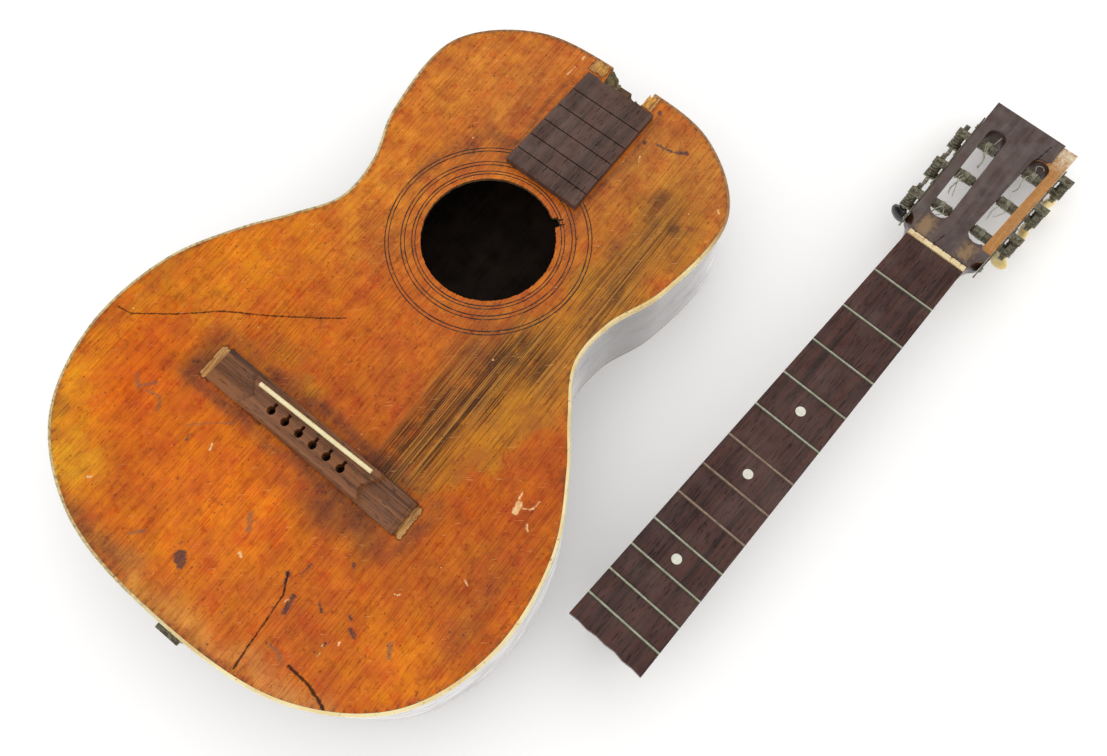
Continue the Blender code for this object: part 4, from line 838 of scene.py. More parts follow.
def tube(path: np.ndarray, radius: float, sides: int = 8) -> np.ndarray:
    """A round tube along a path.

    At each point the cross-section is radius (cos a N + sin a B), where B is square to the path
    and to a fixed reference, and N is square to both.

    Args:
        path: the points.
        radius: the tube's radius.
        sides: points round it.

    Returns:
        A grid with a row for each point of the path.
    """
    along = np.gradient(path, axis=0)
    along /= np.linalg.norm(along, axis=1)[:, None]
    reference = np.array([0.31, 0.17, 0.93])
    across = np.cross(along, reference)
    across /= np.linalg.norm(across, axis=1)[:, None]
    other = np.cross(along, across)
    angle = np.linspace(0, 2 * np.pi, sides, endpoint=False)
    return (path[:, None, :] + radius * (np.cos(angle)[None, :, None] * across[:, None, :]
                                         + np.sin(angle)[None, :, None] * other[:, None, :]))


def placed(points: np.ndarray, matrix: Matrix) -> np.ndarray:
    """Points taken through a matrix: p times the turn, plus the shift."""
    m = np.array(matrix)
    return points @ m[:3, :3].T + m[:3, 3]


def dress(names: list[str], material: bpy.types.Material) -> None:
    """Give carried-over solids their finish, with their curved faces shaded smooth.

    Args:
        names: the solids.
        material: their finish.
    """
    for name in names:
        node = frame["nodes"][name]
        for entry in node.material_slots:
            entry.link = "OBJECT"
            entry.material = material
        node.modifiers.new("smooth", "NODES").node_group = smooth_group()
        LOG.info("%s: %s", name, material.name)


def smooth_group() -> bpy.types.NodeTree:
    """Node group that merges a solid's loose triangles and smooths all but its sharp edges."""
    group = bpy.data.node_groups.get("smooth_by_angle")
    if group is not None:
        return group
    group = bpy.data.node_groups.new("smooth_by_angle", "GeometryNodeTree")
    group.interface.new_socket("Geometry", in_out="INPUT", socket_type="NodeSocketGeometry")
    group.interface.new_socket("Geometry", in_out="OUTPUT", socket_type="NodeSocketGeometry")
    tree = Nodes(group, "")
    weld = tree.add("GeometryNodeMergeByDistance", tree.add("NodeGroupInput"), Distance=1e-6)
    faces = tree.add("GeometryNodeSetShadeSmooth", weld, domain="FACE")
    blunt = tree.add("FunctionNodeCompare", tree.add("GeometryNodeInputMeshEdgeAngle"), SHARP_ANGLE,
                     data_type="FLOAT", operation="LESS_THAN")
    edges = tree.add("GeometryNodeSetShadeSmooth", faces, domain="EDGE", Shade_Smooth=blunt)
    tree.feed(group.nodes.new("NodeGroupOutput").inputs[0], edges)
    return group


# ---------------------------------------------------------------------------------------------
# The body
# ---------------------------------------------------------------------------------------------

@dataclass
class BodyForm:
    """The body's outline and the slope of its top, with the same stations as the solids."""

    lower_bout: float = 323.0 * MM
    waist: float = 189.0 * MM
    upper_bout: float = 229.0 * MM
    tail_y: float = -142.0 * MM
    neck_end_y: float = 313.5 * MM
    depth_tail: float = 87.8 * MM
    depth_neck: float = 79.7 * MM
    binding_height: float = 4.6 * MM
    rib_thickness: float = 2.0 * MM
    back_thickness: float = 2.8 * MM
    top_thickness: float = 2.8 * MM
    notch_left: float = -11.0 * MM
    notch_right: float = 21.5 * MM
    notch_depth: float = 16.0 * MM
    hole_y: float = 160.4 * MM
    hole_radius: float = 43.4 * MM
    steps: int = 36

    def stations(self) -> np.ndarray:
        """Half outline, as share of a bout's half width and share of the length."""
        low, mid, up = self.lower_bout, self.waist, self.upper_bout
        table = ((0.0, low, 0.0), (0.530, low, 0.0235), (0.863, low, 0.104), (1.0, low, 0.228),
                 (0.963, low, 0.3655), (0.819, low, 0.466), (0.698, low, 0.526), (1.010, mid, 0.5906),
                 (1.020, mid, 0.6588), (0.966, up, 0.7455), (0.984, up, 0.8964), (0.604, up, 0.984),
                 (0.0, up, 1.0))
        length = self.neck_end_y - self.tail_y
        return np.array([(share * bout / 2, self.tail_y + along * length) for share, bout, along in table])

    def outline(self, inset: float = 0.0, count: int = 900) -> np.ndarray:
        """The closed outline from the tail round by the treble side, at even spacing.

        Each span between two stations is a cubic through them whose knots are the square roots
        of the chords; the loop is then moved inwards along its normals.
        """
        points = self.stations()
        points = np.vstack((points[1] * (-1, 1), points, points[-2] * (-1, 1)))
        knots = np.concatenate(([0.0], np.cumsum(np.sqrt(np.linalg.norm(np.diff(points, axis=0), axis=1)))))
        spans = []
        for i in range(1, len(points) - 2):
            a, b, c, d = points[i - 1:i + 3]
            t0, t1, t2, t3 = knots[i - 1:i + 3]
            t = np.linspace(t1, t2, self.steps, endpoint=False)[:, None]
            ab = a * (t1 - t) / (t1 - t0) + b * (t - t0) / (t1 - t0)
            bc = b * (t2 - t) / (t2 - t1) + c * (t - t1) / (t2 - t1)
            cd = c * (t3 - t) / (t3 - t2) + d * (t - t2) / (t3 - t2)
            abc = ab * (t2 - t) / (t2 - t0) + bc * (t - t0) / (t2 - t0)
            bcd = bc * (t3 - t) / (t3 - t1) + cd * (t - t1) / (t3 - t1)
            spans.append(abc * (t2 - t) / (t2 - t1) + bcd * (t - t1) / (t2 - t1))
        right = np.vstack((*spans, points[-2]))
        loop = np.vstack((right, right[-2:0:-1] * (-1, 1)))
        closed = np.vstack((loop, loop[:1]))
        travel = np.concatenate(([0.0], np.cumsum(np.linalg.norm(np.diff(closed, axis=0), axis=1))))
        even = np.linspace(0.0, travel[-1], count, endpoint=False)
        loop = np.column_stack([np.interp(even, travel, closed[:, k]) for k in (0, 1)])
        along = np.roll(loop, -1, axis=0) - np.roll(loop, 1, axis=0)
        along /= np.linalg.norm(along, axis=1)[:, None]
        return loop + np.column_stack((-along[:, 1], along[:, 0])) * inset

    def top_height(self, y: np.ndarray) -> np.ndarray:
        """Height of the top's upper face: a straight slope from tail to neck."""
        share = (y - self.tail_y) / (self.neck_end_y - self.tail_y)
        return self.depth_tail + (self.depth_neck - self.depth_tail) * share

    def open_loops(self, insets: list[float]) -> list[np.ndarray]:
        """Outlines at several insets, from one edge of the notch round the tail to the other."""
        base = self.outline()
        kept = ~((base[:, 1] > 0.2) & (base[:, 0] > self.notch_left) & (base[:, 0] < self.notch_right))
        start = int(np.argmax(~kept & np.roll(kept, -1))) + 1
        order = np.roll(np.arange(len(base)), -start)
        order = order[kept[order]]
        return [self.outline(inset)[order] for inset in insets]


FORM = BodyForm()


@dataclass
class PaintZone:
    """A soft oval of colour or wear on the top, in millimetres."""

    x: float
    y: float
    across: float
    along: float
    strength: float
    colour: str = "#000000"

    def weight(self, x: np.ndarray, y: np.ndarray) -> np.ndarray:
        """Falls off as exp(-(dx^2 + dy^2)) in units of the oval's half sizes."""
        return self.strength * np.exp(-((x - self.x) / self.across) ** 2 - ((y - self.y) / self.along) ** 2)


COLOUR_ZONES = (
    PaintZone(-90, 250, 60, 70, 0.8, "#C97C40"), PaintZone(-85, 140, 50, 50, 0.8, "#D08038"),
    PaintZone(-45, 255, 16, 60, 0.6, "#A9603C"), PaintZone(45, 262, 14, 55, 0.7, "#9C5E40"),
    PaintZone(85, 275, 45, 40, 0.8, "#B87844"), PaintZone(78, 225, 34, 45, 0.7, "#B0702E"),
    PaintZone(80, 140, 26, 70, 0.9, "#C47E22"), PaintZone(78, 75, 20, 42, 0.85, "#C47A1A"),
    PaintZone(128, 62, 26, 40, 0.85, "#AE4E18"), PaintZone(104, 12, 34, 34, 0.75, "#B25018"),
    PaintZone(-112, 62, 34, 46, 0.9, "#DA7E20"), PaintZone(-35, 60, 40, 34, 0.6, "#C8691C"),
    PaintZone(12, 45, 34, 44, 0.75, "#B55B24"), PaintZone(-148, 0, 14, 44, 0.7, "#D27C1A"),
    PaintZone(-135, -80, 20, 30, 0.95, "#E59A22"), PaintZone(-116, -108, 22, 20, 0.9, "#DEA22C"),
    PaintZone(-108, -52, 26, 30, 0.85, "#DC6608"), PaintZone(-105, -22, 24, 20, 0.7, "#CE5E0C"),
    PaintZone(-60, -60, 44, 44, 0.7, "#CC6414"), PaintZone(-5, -55, 40, 26, 0.9, "#DC7014"),
    PaintZone(50, -36, 30, 12, 0.6, "#8A5034"), PaintZone(-20, -92, 40, 32, 0.8, "#DA7420"),
    PaintZone(62, -98, 40, 34, 0.85, "#C0602A"), PaintZone(122, -24, 26, 40, 0.8, "#B4602A"),
    PaintZone(122, -78, 28, 22, 0.85, "#DC781A"), PaintZone(0, -134, 70, 9, 0.8, "#CE8850"),
    PaintZone(90, -128, 50, 8, 0.7, "#C88462"), PaintZone(-86, -8, 10, 22, 0.6, "#8A4A24"),
    PaintZone(-50, 118, 20, 22, 0.5, "#A8613A"), PaintZone(40, 118, 22, 18, 0.6, "#9A5630"),
    PaintZone(-110, 16, 26, 16, 0.5, "#D48024"), PaintZone(32, 20, 14, 18, 0.6, "#A8491C"),
)
STREAK_ZONES = (
    PaintZone(44, 22, 9, 26, 1.2), PaintZone(51, 52, 11, 26, 1.5), PaintZone(58, 86, 11, 26, 1.5),
    PaintZone(66, 112, 9, 14, 0.7), PaintZone(84, 184, 16, 44, 0.7), PaintZone(84, 240, 12, 16, 0.4),
    PaintZone(-50, 26, 12, 12, 0.3),
    PaintZone(38, 52, 6, 40, 0.45), PaintZone(78, 110, 16, 26, 0.35),
)
WORN_ZONES = (
    PaintZone(78, 70, 20, 46, 1.2), PaintZone(60, 30, 14, 30, 0.9), PaintZone(84, 130, 26, 46, 1.1),
    PaintZone(84, 190, 24, 46, 1.0), PaintZone(92, 240, 20, 26, 0.5), PaintZone(56, 120, 12, 16, 0.7),
    PaintZone(-24, 14, 30, 7, 0.5), PaintZone(-132, -94, 14, 34, 0.6), PaintZone(-108, 120, 18, 24, 0.35),
)
# Dark ovals on the top, partly dirt and partly painted shade: the bands along the bridge's edges and ends and
# along the fingerboard's sides and end stand in for the shade there.
GRIME_AND_SHADE_ZONES = (
    PaintZone(-30, 9, 56, 5, 0.85), PaintZone(44, 6, 36, 6, 0.85), PaintZone(-87, -12, 7, 17, 0.95),
    PaintZone(-62, -25, 34, 4, 0.8), PaintZone(14, -25, 50, 4, 0.75), PaintZone(48, -32, 30, 8, 0.65),
    PaintZone(20, -38, 16, 8, 0.35), PaintZone(-64, -130, 56, 7, 0.5), PaintZone(84, -12, 5, 16, 0.8),
    PaintZone(-64, 172, 4, 14, 0.6),
    PaintZone(-51, 208, 6, 8, 0.85), PaintZone(-38, 222, 12, 4, 0.45), PaintZone(48, 96, 12, 10, 0.5),
    PaintZone(-29, 255, 2.4, 48, 0.6), PaintZone(36, 255, 2.4, 48, 0.65), PaintZone(66, 104, 8, 4, 0.6),
    PaintZone(-20, 226, 30, 4, 0.55), PaintZone(-60, 186, 5, 12, 0.5), PaintZone(-80, -134, 26, 6, 0.6),
    PaintZone(30, -138, 40, 3, 0.5),
    PaintZone(73, 250, 4.5, 6, 0.9), PaintZone(89, 239, 3.5, 5, 0.9), PaintZone(76, 232, 7, 9, 0.5),
    PaintZone(66, 204, 6, 9, 0.6), PaintZone(84, 190, 8, 14, 0.35), PaintZone(140, -30, 6, 40, 0.4),
    PaintZone(-148, 40, 5, 50, 0.3),
)


@dataclass
class RawPatch:
    """A straight-edged patch of bare wood on the top, in millimetres."""

    low: tuple[float, float]
    high: tuple[float, float]

    def weight(self, x: np.ndarray, y: np.ndarray) -> np.ndarray:
        """1 inside, falling to 0 within 1.5 mm outside."""
        dx = np.maximum(np.maximum(self.low[0] - x, x - self.high[0]), 0.0)
        dy = np.maximum(np.maximum(self.low[1] - y, y - self.high[1]), 0.0)
        return np.clip(1.0 - np.hypot(dx, dy) / 1.5, 0.0, 1.0)


RAW_PATCHES = (
    RawPatch((-84.0, -19.5), (-76.0, 3.5)), RawPatch((74.0, -22.0), (78.6, -0.5)),
    RawPatch((-24.5, 302.5), (-13.5, 311.0)), RawPatch((20.0, 300.0), (28.0, 312.0)),
)


@dataclass
class Top:
    """The soundboard with its hole, the bite in the hole's edge and the torn notch."""

    spokes: int = 880
    rows: int = 88
    bite_angle: float = 0.91
    bite_half: float = 0.085
    bite_depth: float = 4.6 * MM
    gain: tuple[float, float, float] = (1.20, 1.44, 0.80)

    def rim(self) -> np.ndarray:
        """The outer edge: the outline inside the binding, with the notch let into it."""
        loop = FORM.outline(FORM.rib_thickness + 0.1 * MM, self.spokes)
        x, y = loop[:, 0], loop[:, 1]
        near = (y > 0.2) & (x > FORM.notch_left) & (x < FORM.notch_right)
        floor = FORM.neck_end_y - FORM.notch_depth
        share = (floor - FORM.hole_y) / (y[near] - FORM.hole_y)
        torn = (lattice_noise(x[near] / MM, y[near] / MM, 1.3, 9.0, 5) - 0.5) * 1.6 * MM
        loop[near, 0] = x[near] * share
        loop[near, 1] = floor + torn
        return loop

    def hole(self, angle: np.ndarray) -> np.ndarray:
        """The hole's radius at each angle, ragged where a piece has broken out."""
        away = np.abs(angle - self.bite_angle)
        ragged = 1.0 + 0.35 * np.sin(angle * 83.0) + 0.2 * np.sin(angle * 157.0)
        bite = np.clip((self.bite_half - away) / 0.02, 0.0, 1.0) * self.bite_depth * ragged
        chew = (lattice_noise(angle * 40.0, angle * 0.0, 1.0, 1.0, 9) - 0.5) * 0.5 * MM
        return FORM.hole_radius + bite + chew

    def build(self) -> None:
        """Rays from the hole's middle, each cut into equal steps from the hole to the rim."""
        rim = self.rim()
        centre = np.array([0.0, FORM.hole_y])
        away = rim - centre
        reach = np.linalg.norm(away, axis=1)
        direction = away / reach[:, None]
        radius = self.hole(np.arctan2(direction[:, 1], direction[:, 0]))
        share = np.linspace(0.0, 1.0, self.rows)
        distance = radius[None, :] + (reach - radius)[None, :] * share[:, None]
        flat = centre + direction[None, :, :] * distance[:, :, None]
        height = FORM.top_height(flat[:, :, 1])
        upper = np.dstack((flat, height))
        lower = upper - (0.0, 0.0, FORM.top_thickness)
        piece = Surface("soundboard_varnished", slot="spruce_top")
        piece.grid(upper, ring_columns=True)
        piece.grid(np.stack((upper[-1], lower[-1])), ring_columns=True, finish=1)
        piece.grid(np.stack((lower[0], upper[0])), ring_columns=True, finish=1)
        piece.grid(lower[[0, self.rows // 2, -1]][::-1], ring_columns=True, finish=1)
        inside = RawWood("raw_spruce_inside", "#8A6238", "#5A3C20", (1.2, 40.0, 1.2)).material()
        board = piece.build([WornSpruce().material(), inside], replaces=("soundboard",))
        self.paint(board.data)

    def paint(self, mesh: bpy.types.Mesh) -> None:
        """Write the colour and wear of each point: soft ovals laid over a base amber. The grime share is
        dirt, and painted shade next to the bridge and the fingerboard; under the bridge the board is painted
        near black, as the shade seen through the pin holes.
        """
        points = np.empty(len(mesh.vertices) * 3, dtype=np.float32)
        mesh.vertices.foreach_get("co", points)
        x, y = points.reshape(-1, 3)[:, 0] / MM, points.reshape(-1, 3)[:, 1] / MM
        drift = 9.0
        px = x + (lattice_noise(x, y, 16, 22, 1) - 0.5) * drift * 2
        py = y + (lattice_noise(x, y, 18, 20, 2) - 0.5) * drift * 2
        colour = np.tile(linear("#C4661F"), (len(x), 1))
        for zone in COLOUR_ZONES:
            weight = np.clip(zone.weight(px, py), 0, 1)[:, None]
            colour = colour * (1 - weight) + np.array(linear(zone.colour)) * weight
        mottled = 0.90 + 0.20 * lattice_noise(x, y, 7, 9, 3)
        colour[:, :3] *= (mottled * (0.93 + 0.14 * lattice_noise(x, y, 3.5, 5, 4)))[:, None]
        colour[:, :3] *= self.gain
        streaks = sum(zone.weight(px, py) for zone in STREAK_ZONES)
        # Dirt and painted shade: the ovals, the rim and the ring round the hole darken the top; the bands by
        # the bridge and the fingerboard are painted shade.
        grime = sum(zone.weight(x + (px - x) * 0.35, y + (py - y) * 0.35) for zone in GRIME_AND_SHADE_ZONES)
        rim = self.rim() / MM
        gap = np.full(len(x), 1e9)
        for part in np.array_split(rim, 44):
            away = np.hypot(x[:, None] - part[None, ::4, 0], y[:, None] - part[None, ::4, 1])
            gap = np.minimum(gap, away.min(1))
        ragged = lattice_noise(x, y, 5, 7, 7)
        grime += np.clip(1.0 - gap / (1.0 + 4.5 * ragged ** 2), 0, 1) * 0.85
        ring = np.abs(np.hypot(x, y - FORM.hole_y / MM) - 55.0)
        grime += np.clip(1.0 - ring / 13.0, 0, 1) * 0.22 * lattice_noise(x, y, 12, 12, 8)
        raw = np.zeros(len(x))
        for patch in RAW_PATCHES:
            raw = np.maximum(raw, patch.weight(x, y))
        worn = sum(zone.weight(px, py) for zone in WORN_ZONES)
        worn += (lattice_noise(x, y, 7, 11, 12) - 0.5) * 0.5
        wear = np.column_stack((np.clip(streaks, 0, 1), raw, np.clip(grime, 0, 1), np.clip(worn, 0, 1)))
        # Painted shade: the board under the bridge is painted near black, standing in for the dark inside of
        # the body seen through the open pin holes.
        under = (np.abs(x + 1.6) < 46) & (y < 1.5) & (y > -20.0)
        colour[under, :3] *= 0.02
        for name, values in (("paint", colour), ("wear", wear)):
            layer = mesh.color_attributes.new(name, "FLOAT_COLOR", "POINT")
            layer.data.foreach_set("color", values.astype(np.float32).ravel())


@dataclass
class Rosette:
    """Three pairs of dark lines let into the top round the hole."""

    lines: dict = field(default_factory=lambda: {"outer": (63.9, 66.2), "middle": (53.6, 56.0),
                                                 "inner": (46.9, 48.9)})
    half_width: float = 0.36 * MM
    proud: float = 0.05 * MM
    steps: int = 240

    def build(self) -> None:
        """Each line is a flat band round a circle, its width wavering a little."""
        material = RingInlay().material()
        angle = np.linspace(0, 2 * np.pi, self.steps, endpoint=False)
        for name, radii in self.lines.items():
            piece = Surface("rosette_%s_lines" % name, slot="rosette_black")
            for seed, radius in enumerate(radii):
                half = self.half_width * (0.7 + 0.6 * lattice_noise(angle * 9, angle * 0, 1, 1, 20 + seed))
                profile = []
                for sign, drop in ((-1, 0.3 * MM), (1, 0.3 * MM), (1, -self.proud), (-1, -self.proud)):
                    r = radius * MM + sign * half
                    x, y = r * np.cos(angle), FORM.hole_y + r * np.sin(angle)
                    profile.append(np.column_stack((x, y, FORM.top_height(y) - drop)))
                piece.grid(np.stack(profile, axis=1), ring_rows=True, ring_columns=True)
            piece.build([material], replaces=("rosette_%s_ring" % name,))


@dataclass
class Shell:
    """The binding, the bent sides and the back."""

    def binding(self) -> None:
        """A strip with a rounded outer edge, carried round the outline between the torn ends."""
        wide, high = FORM.rib_thickness, FORM.binding_height
        profile = [(0.0, -high), (0.0, -0.9 * MM), (0.12 * MM, -0.42 * MM), (0.42 * MM, -0.1 * MM),
                   (0.9 * MM, 0.0), (wide, 0.0), (wide, -high)]
        loops = FORM.open_loops([inset for inset, drop in profile])
        section = [np.column_stack((loop, FORM.top_height(loop[:, 1]) + drop))
                   for loop, (inset, drop) in zip(loops, profile)]
        piece = Surface("binding_strip", slot="cream_binding")
        piece.grid(np.stack(section, axis=1), ring_columns=True, caps=True)
        piece.build([Celluloid().material()], replaces=("top_binding",))

    def ribs(self) -> None:
        """Each side is a thin wall that follows the outline, cut off at the notch and the tail."""
        inner = RawWood("raw_side_inside", "#6E4A2C", "#47301C", (40.0, 40.0, 2.0)).material()
        outer = DarkVarnish().material()
        low = FORM.back_thickness + 0.3 * MM
        shares = np.linspace(0.0, 1.0, 9)
        loops = FORM.open_loops([0.0, FORM.rib_thickness])
        for side in Side:
            keep = np.sign(loops[0][:, 0] + 1e-9) == side.value
            keep &= np.abs(loops[0][:, 0]) > 0.15 * MM
            walls = []
            for loop in loops:
                path = loop[keep]
                seam = (side.value * 0.15 * MM, loop[np.abs(loop[:, 0]) < 20 * MM][:, 1].min())
                path = np.vstack((path, seam)) if path[0, 1] > path[-1, 1] else np.vstack((seam, path))
                high = FORM.top_height(path[:, 1]) - FORM.binding_height - 0.1 * MM
                rows = [np.column_stack((path, low + (high - low) * s)) for s in shares]
                walls.append(np.stack(rows, axis=1))
            piece = Surface("side_%s" % side.word, slot="dark_ribs")
            piece.grid(walls[0])
            piece.grid(walls[1][:, ::-1], finish=1)
            for a, b in ((walls[0][:, -1], walls[1][:, -1]), (walls[1][:, 0], walls[0][:, 0])):
                piece.grid(np.stack((a, b), axis=1), finish=1)
            for end in (0, -1):
                piece.grid(np.stack((walls[0][end], walls[1][end]), axis=1), finish=1)
            piece.build([outer, inner], replaces=("rib_%s" % side.word,))

    def back(self) -> None:
        """A flat plate with rounded edges: loops of the outline at small insets, capped."""
        thick = FORM.back_thickness
        rows = []
        for inset, z in ((0.9 * MM, 0.0), (0.3 * MM, 0.25 * MM), (0.0, 0.9 * MM), (0.0, thick - 0.5 * MM),
                         (0.4 * MM, thick)):
            loop = FORM.outline(inset)
            rows.append(np.column_stack((loop, np.full(len(loop), z))))
        piece = Surface("back_plate", slot="dark_ribs")
        piece.grid(np.stack(rows), ring_columns=True)
        for row, side in ((rows[0], 0), (rows[-1], 1)):
            middle = np.tile((0.0, FORM.hole_y, row[0, 2]), (len(row), 1))
            piece.grid(np.stack((row, row + (middle - row) * 0.5, middle)), ring_columns=True, finish=side)
        # Painted shade: the back's inside is near black, standing in for the dark inside of the body seen
        # through the hole.
        inside = RawWood("raw_back_inside", "#2C1C11", "#1A110A", (3.0, 50.0, 3.0)).material()
        piece.build([DarkVarnish().material(), inside], replaces=("back",))

    def build(self) -> None:
        """All three."""
        self.binding()
        self.ribs()
        self.back()


@dataclass
class TornJoint:
    """Broken wood where the neck has been torn out."""

    seed: int = 11

    def chunk(self, name: str, low: tuple, high: tuple, tops: tuple, material: bpy.types.Material,
              seed: int) -> None:
        """A jagged block whose top runs between four corner heights, roughened with noise.

        Args:
            name: the piece's name.
            low: lowest x, y and z in millimetres.
            high: highest x and y in millimetres.
            tops: the top's height at its four corners, in millimetres.
            material: its finish.
            seed: the seed of its roughness.
        """
        count = 14
        u, v = np.meshgrid(np.linspace(0, 1, count), np.linspace(0, 1, count))
        x = low[0] + (high[0] - low[0]) * u
        y = low[1] + (high[1] - low[1]) * v
        z = (tops[0] * (1 - u) * (1 - v) + tops[1] * u * (1 - v) + tops[2] * (1 - u) * v + tops[3] * u * v)
        z = z + (lattice_noise(x, y, 1.3, 5.0, seed) - 0.5) * 2.2
        z = z + (lattice_noise(x, y, 0.6, 3.0, seed + 1) - 0.5)
        y = y + (lattice_noise(x, y * 0, 1.1, 1.0, seed + 2) - 0.5) * 2.0 * v
        upper = np.dstack((x, y, z)) * MM
        lower = np.dstack((x, y, np.full_like(z, low[2]))) * MM
        piece = Surface(name, slot="raw_wood")
        piece.block(upper, lower)
        piece.build([material], sharp=0.5)

    def build(self) -> None:
        """The torn cheek of the block, splinters at the notch's floor and the pale corner."""
        pale = RawWood("torn_pale_wood", "#EDB456", "#B4742C", (1.0, 6.0, 3.0)).material()
        old = RawWood("torn_glued_wood", "#8C7D52", "#4E422A", (3.0, 4.0, 3.0)).material()
        self.cheek("torn_cheek", ((-12.4, 297.4), (3.0, 297.4), (-2.6, 309.8), (-12.4, 312.6)), 46.0,
                   (79.4, 72.5, 70.5, 79.0), old, self.seed)
        self.chunk("torn_splinter_left", (-22.5, 303.0, 76.5), (-12.8, 311.4), (80.3, 80.2, 80.0, 79.8), pale,
                   self.seed + 5)
        self.chunk("torn_splinter_floor", (11.5, 296.8, 60.0), (16.5, 300.6), (79.0, 79.5, 78.0, 78.6), old,
                   self.seed + 9)
        self.chunk("torn_splinter_right", (20.6, 300.0, 76.5), (26.0, 309.5), (80.0, 80.0, 79.9, 79.8), pale,
                   self.seed + 14)

    def cheek(self, name: str, corners: tuple, low: float, tops: tuple, material: bpy.types.Material,
              seed: int) -> None:
        """A four-cornered lump between the notch's floor and the block's broken face.

        Places are blended from the four corners; the upper face is roughened with noise and its
        outer edge with a finer one.

        Args:
            name: the piece's name.
            corners: x and y of the corners in millimetres, in order round the lump.
            low: the underside's height in millimetres.
            tops: the upper face's height at each corner.
            material: its finish.
            seed: the seed of its roughness.
        """
        u, v = np.meshgrid(np.linspace(0, 1, 26), np.linspace(0, 1, 26))
        share = np.stack(((1 - u) * (1 - v), u * (1 - v), u * v, (1 - u) * v))
        x, y = (sum(share[i] * corners[i][k] for i in range(4)) for k in (0, 1))
        z = sum(share[i] * tops[i] for i in range(4))
        rough = (lattice_noise(x, y, 2.2, 2.6, seed) - 0.5) * 2.4
        rough = rough + (lattice_noise(x, y, 0.8, 1.1, seed + 1) - 0.5)
        ragged = (lattice_noise(x * 1.3, y * 0.7, 1.2, 1.5, seed + 2) - 0.5) * 1.2
        upper = np.dstack((x + ragged * u, y + ragged * v, np.minimum(z + rough, 79.6))) * MM
        lower = np.dstack((x, y, np.full_like(z, low))) * MM
        piece = Surface(name, slot="raw_wood")
        piece.block(upper, lower)
        piece.build([material], sharp=0.5)


# ---------------------------------------------------------------------------------------------
# The neck, its head and tuners
# ---------------------------------------------------------------------------------------------

@dataclass
class ChippedNut:
    """The nut: six shallow string slots, and bites out of its edges."""

    width: float = 42.8
    length: float = 5.0
    height: float = 1.2
    depth: float = 6.0
    origin: tuple[float, float, float] = (0.2292, 0.3365, 0.0575)
    yaw: float = -0.069464

    def build(self) -> None:
        """A block whose top is a grid lowered by slots and by chips.

        Each slot is a dip exp(-(dx / 0.5)^2), and the chips are noise above a threshold.
        """
        u, v = np.meshgrid(np.linspace(-0.5, 0.5, 110), np.linspace(0.0, 1.0, 16))
        x, y = u * self.width, 0.3 + v * (self.length - 0.3)
        top = self.height - 1.9 * v ** 2
        for i in range(6):
            top -= 0.9 * np.exp(-((x - (i - 2.5) * 7.0) / 0.45) ** 2)
        chips = np.clip(lattice_noise(x, y * 3, 2.6, 3.0, 31) - 0.72, 0, 1) * 3.0
        top -= chips * (0.3 + v)
        end = np.clip((np.abs(u) - 0.47) / 0.03, 0, 1)
        top -= 0.7 * end ** 2
        upper = np.dstack((x, y, top)) * MM
        lower = np.dstack((x, y, np.full_like(x, -self.depth))) * MM
        place = Matrix.Translation(self.origin) @ Matrix.Rotation(self.yaw, 4, "Z")
        upper, lower = placed(upper, place), placed(lower, place)
        piece = Surface("nut_chipped", slot="bone")
        piece.block(upper, lower)
        piece.build([Bone("nut_bone", "#EBD3A4", "#C08A4A", 0.6).material()], replaces=("nut",))


@dataclass
class Screw:
    """A small domed screw with a slot."""

    radius: float = 1.9
    dome: float = 0.8

    def points(self, place: Matrix, turn: float) -> list[np.ndarray]:
        """The dome as rings of radius r sin a, and the slot as a thin dark bar across it."""
        angle = np.linspace(0, 2 * np.pi, 20, endpoint=False)
        rings = []
        for share, rise in ((0.001, 1.0), (0.4, 0.92), (0.75, 0.66), (0.95, 0.3), (1.0, 0.0), (1.0, -0.6)):
            x, y = self.radius * share * np.cos(angle), self.radius * share * np.sin(angle)
            rings.append(np.column_stack((x, y, np.full_like(x, rise * self.dome))))
        spin = Matrix.Rotation(turn, 4, "Z")
        half, wide = self.radius * 0.86, 0.24
        bar = np.array([[(-half, -wide, z), (half, -wide, z), (half, wide, z), (-half, wide, z)]
                        for z in (0.2 * self.dome, self.dome * 1.03)])
        return [placed(np.stack(rings) * MM, place), placed(bar * MM, place @ spin)]


# Loose wire ends by roller: the wire's radius, then points (to the treble, to the tip, up) in
# millimetres from the roller's middle in its slot
STRANDS = {
    "bass_3": ((0.42, ((0, -3, 3.6), (1, -10, 5), (3, -18, 4), (2, -26, 5))),
               (0.42, ((-1.5, -3.4, 3.2), (0, -12, 6), (2.5, -20, 6), (3, -25, 3))),
               (0.36, ((2, 2, 3.8), (3, 5, 6), (3.5, 8, 7)))),
    "bass_2": ((0.42, ((1, -3, 3.6), (-1, -10, 6), (-3, -19, 4), (-2, -26, 5))),
               (0.42, ((-2, -3, 3.4), (-3, -9, 5.5), (-1, -18, 6), (1, -25, 4))),
               (0.50, ((-3.5, 3.5, 2), (-4.5, -2, 5), (-5.2, -9, 3)))),
    "bass_1": ((0.42, ((0, -3, 3.6), (-2, -8, 5), (-3, -12, 3), (0, -13, 1))),
               (0.36, ((2, -3.2, 3.4), (3, -9, 4.5), (0, -12, 3)))),
    "treble_3": ((0.32, ((-2, -3.6, 2), (-3, -7, 5), (-3.5, -13, 5), (-2, -18, 2), (-3.5, -22, 0))),
                 (0.32, ((-1, 3.6, 2.5), (-2.5, 6, 5), (0.5, 8, 5.5), (3, 6.5, 5)))),
    "treble_2": ((0.24, ((-2, -3.6, 2.4), (-3, -8, 4), (-5, -13, 2), (-4, -19, -2))),
                 (0.24, ((1, -3.6, 2.4), (2, -8, 3), (0, -13, 1), (-2, -19, 3)))),
}


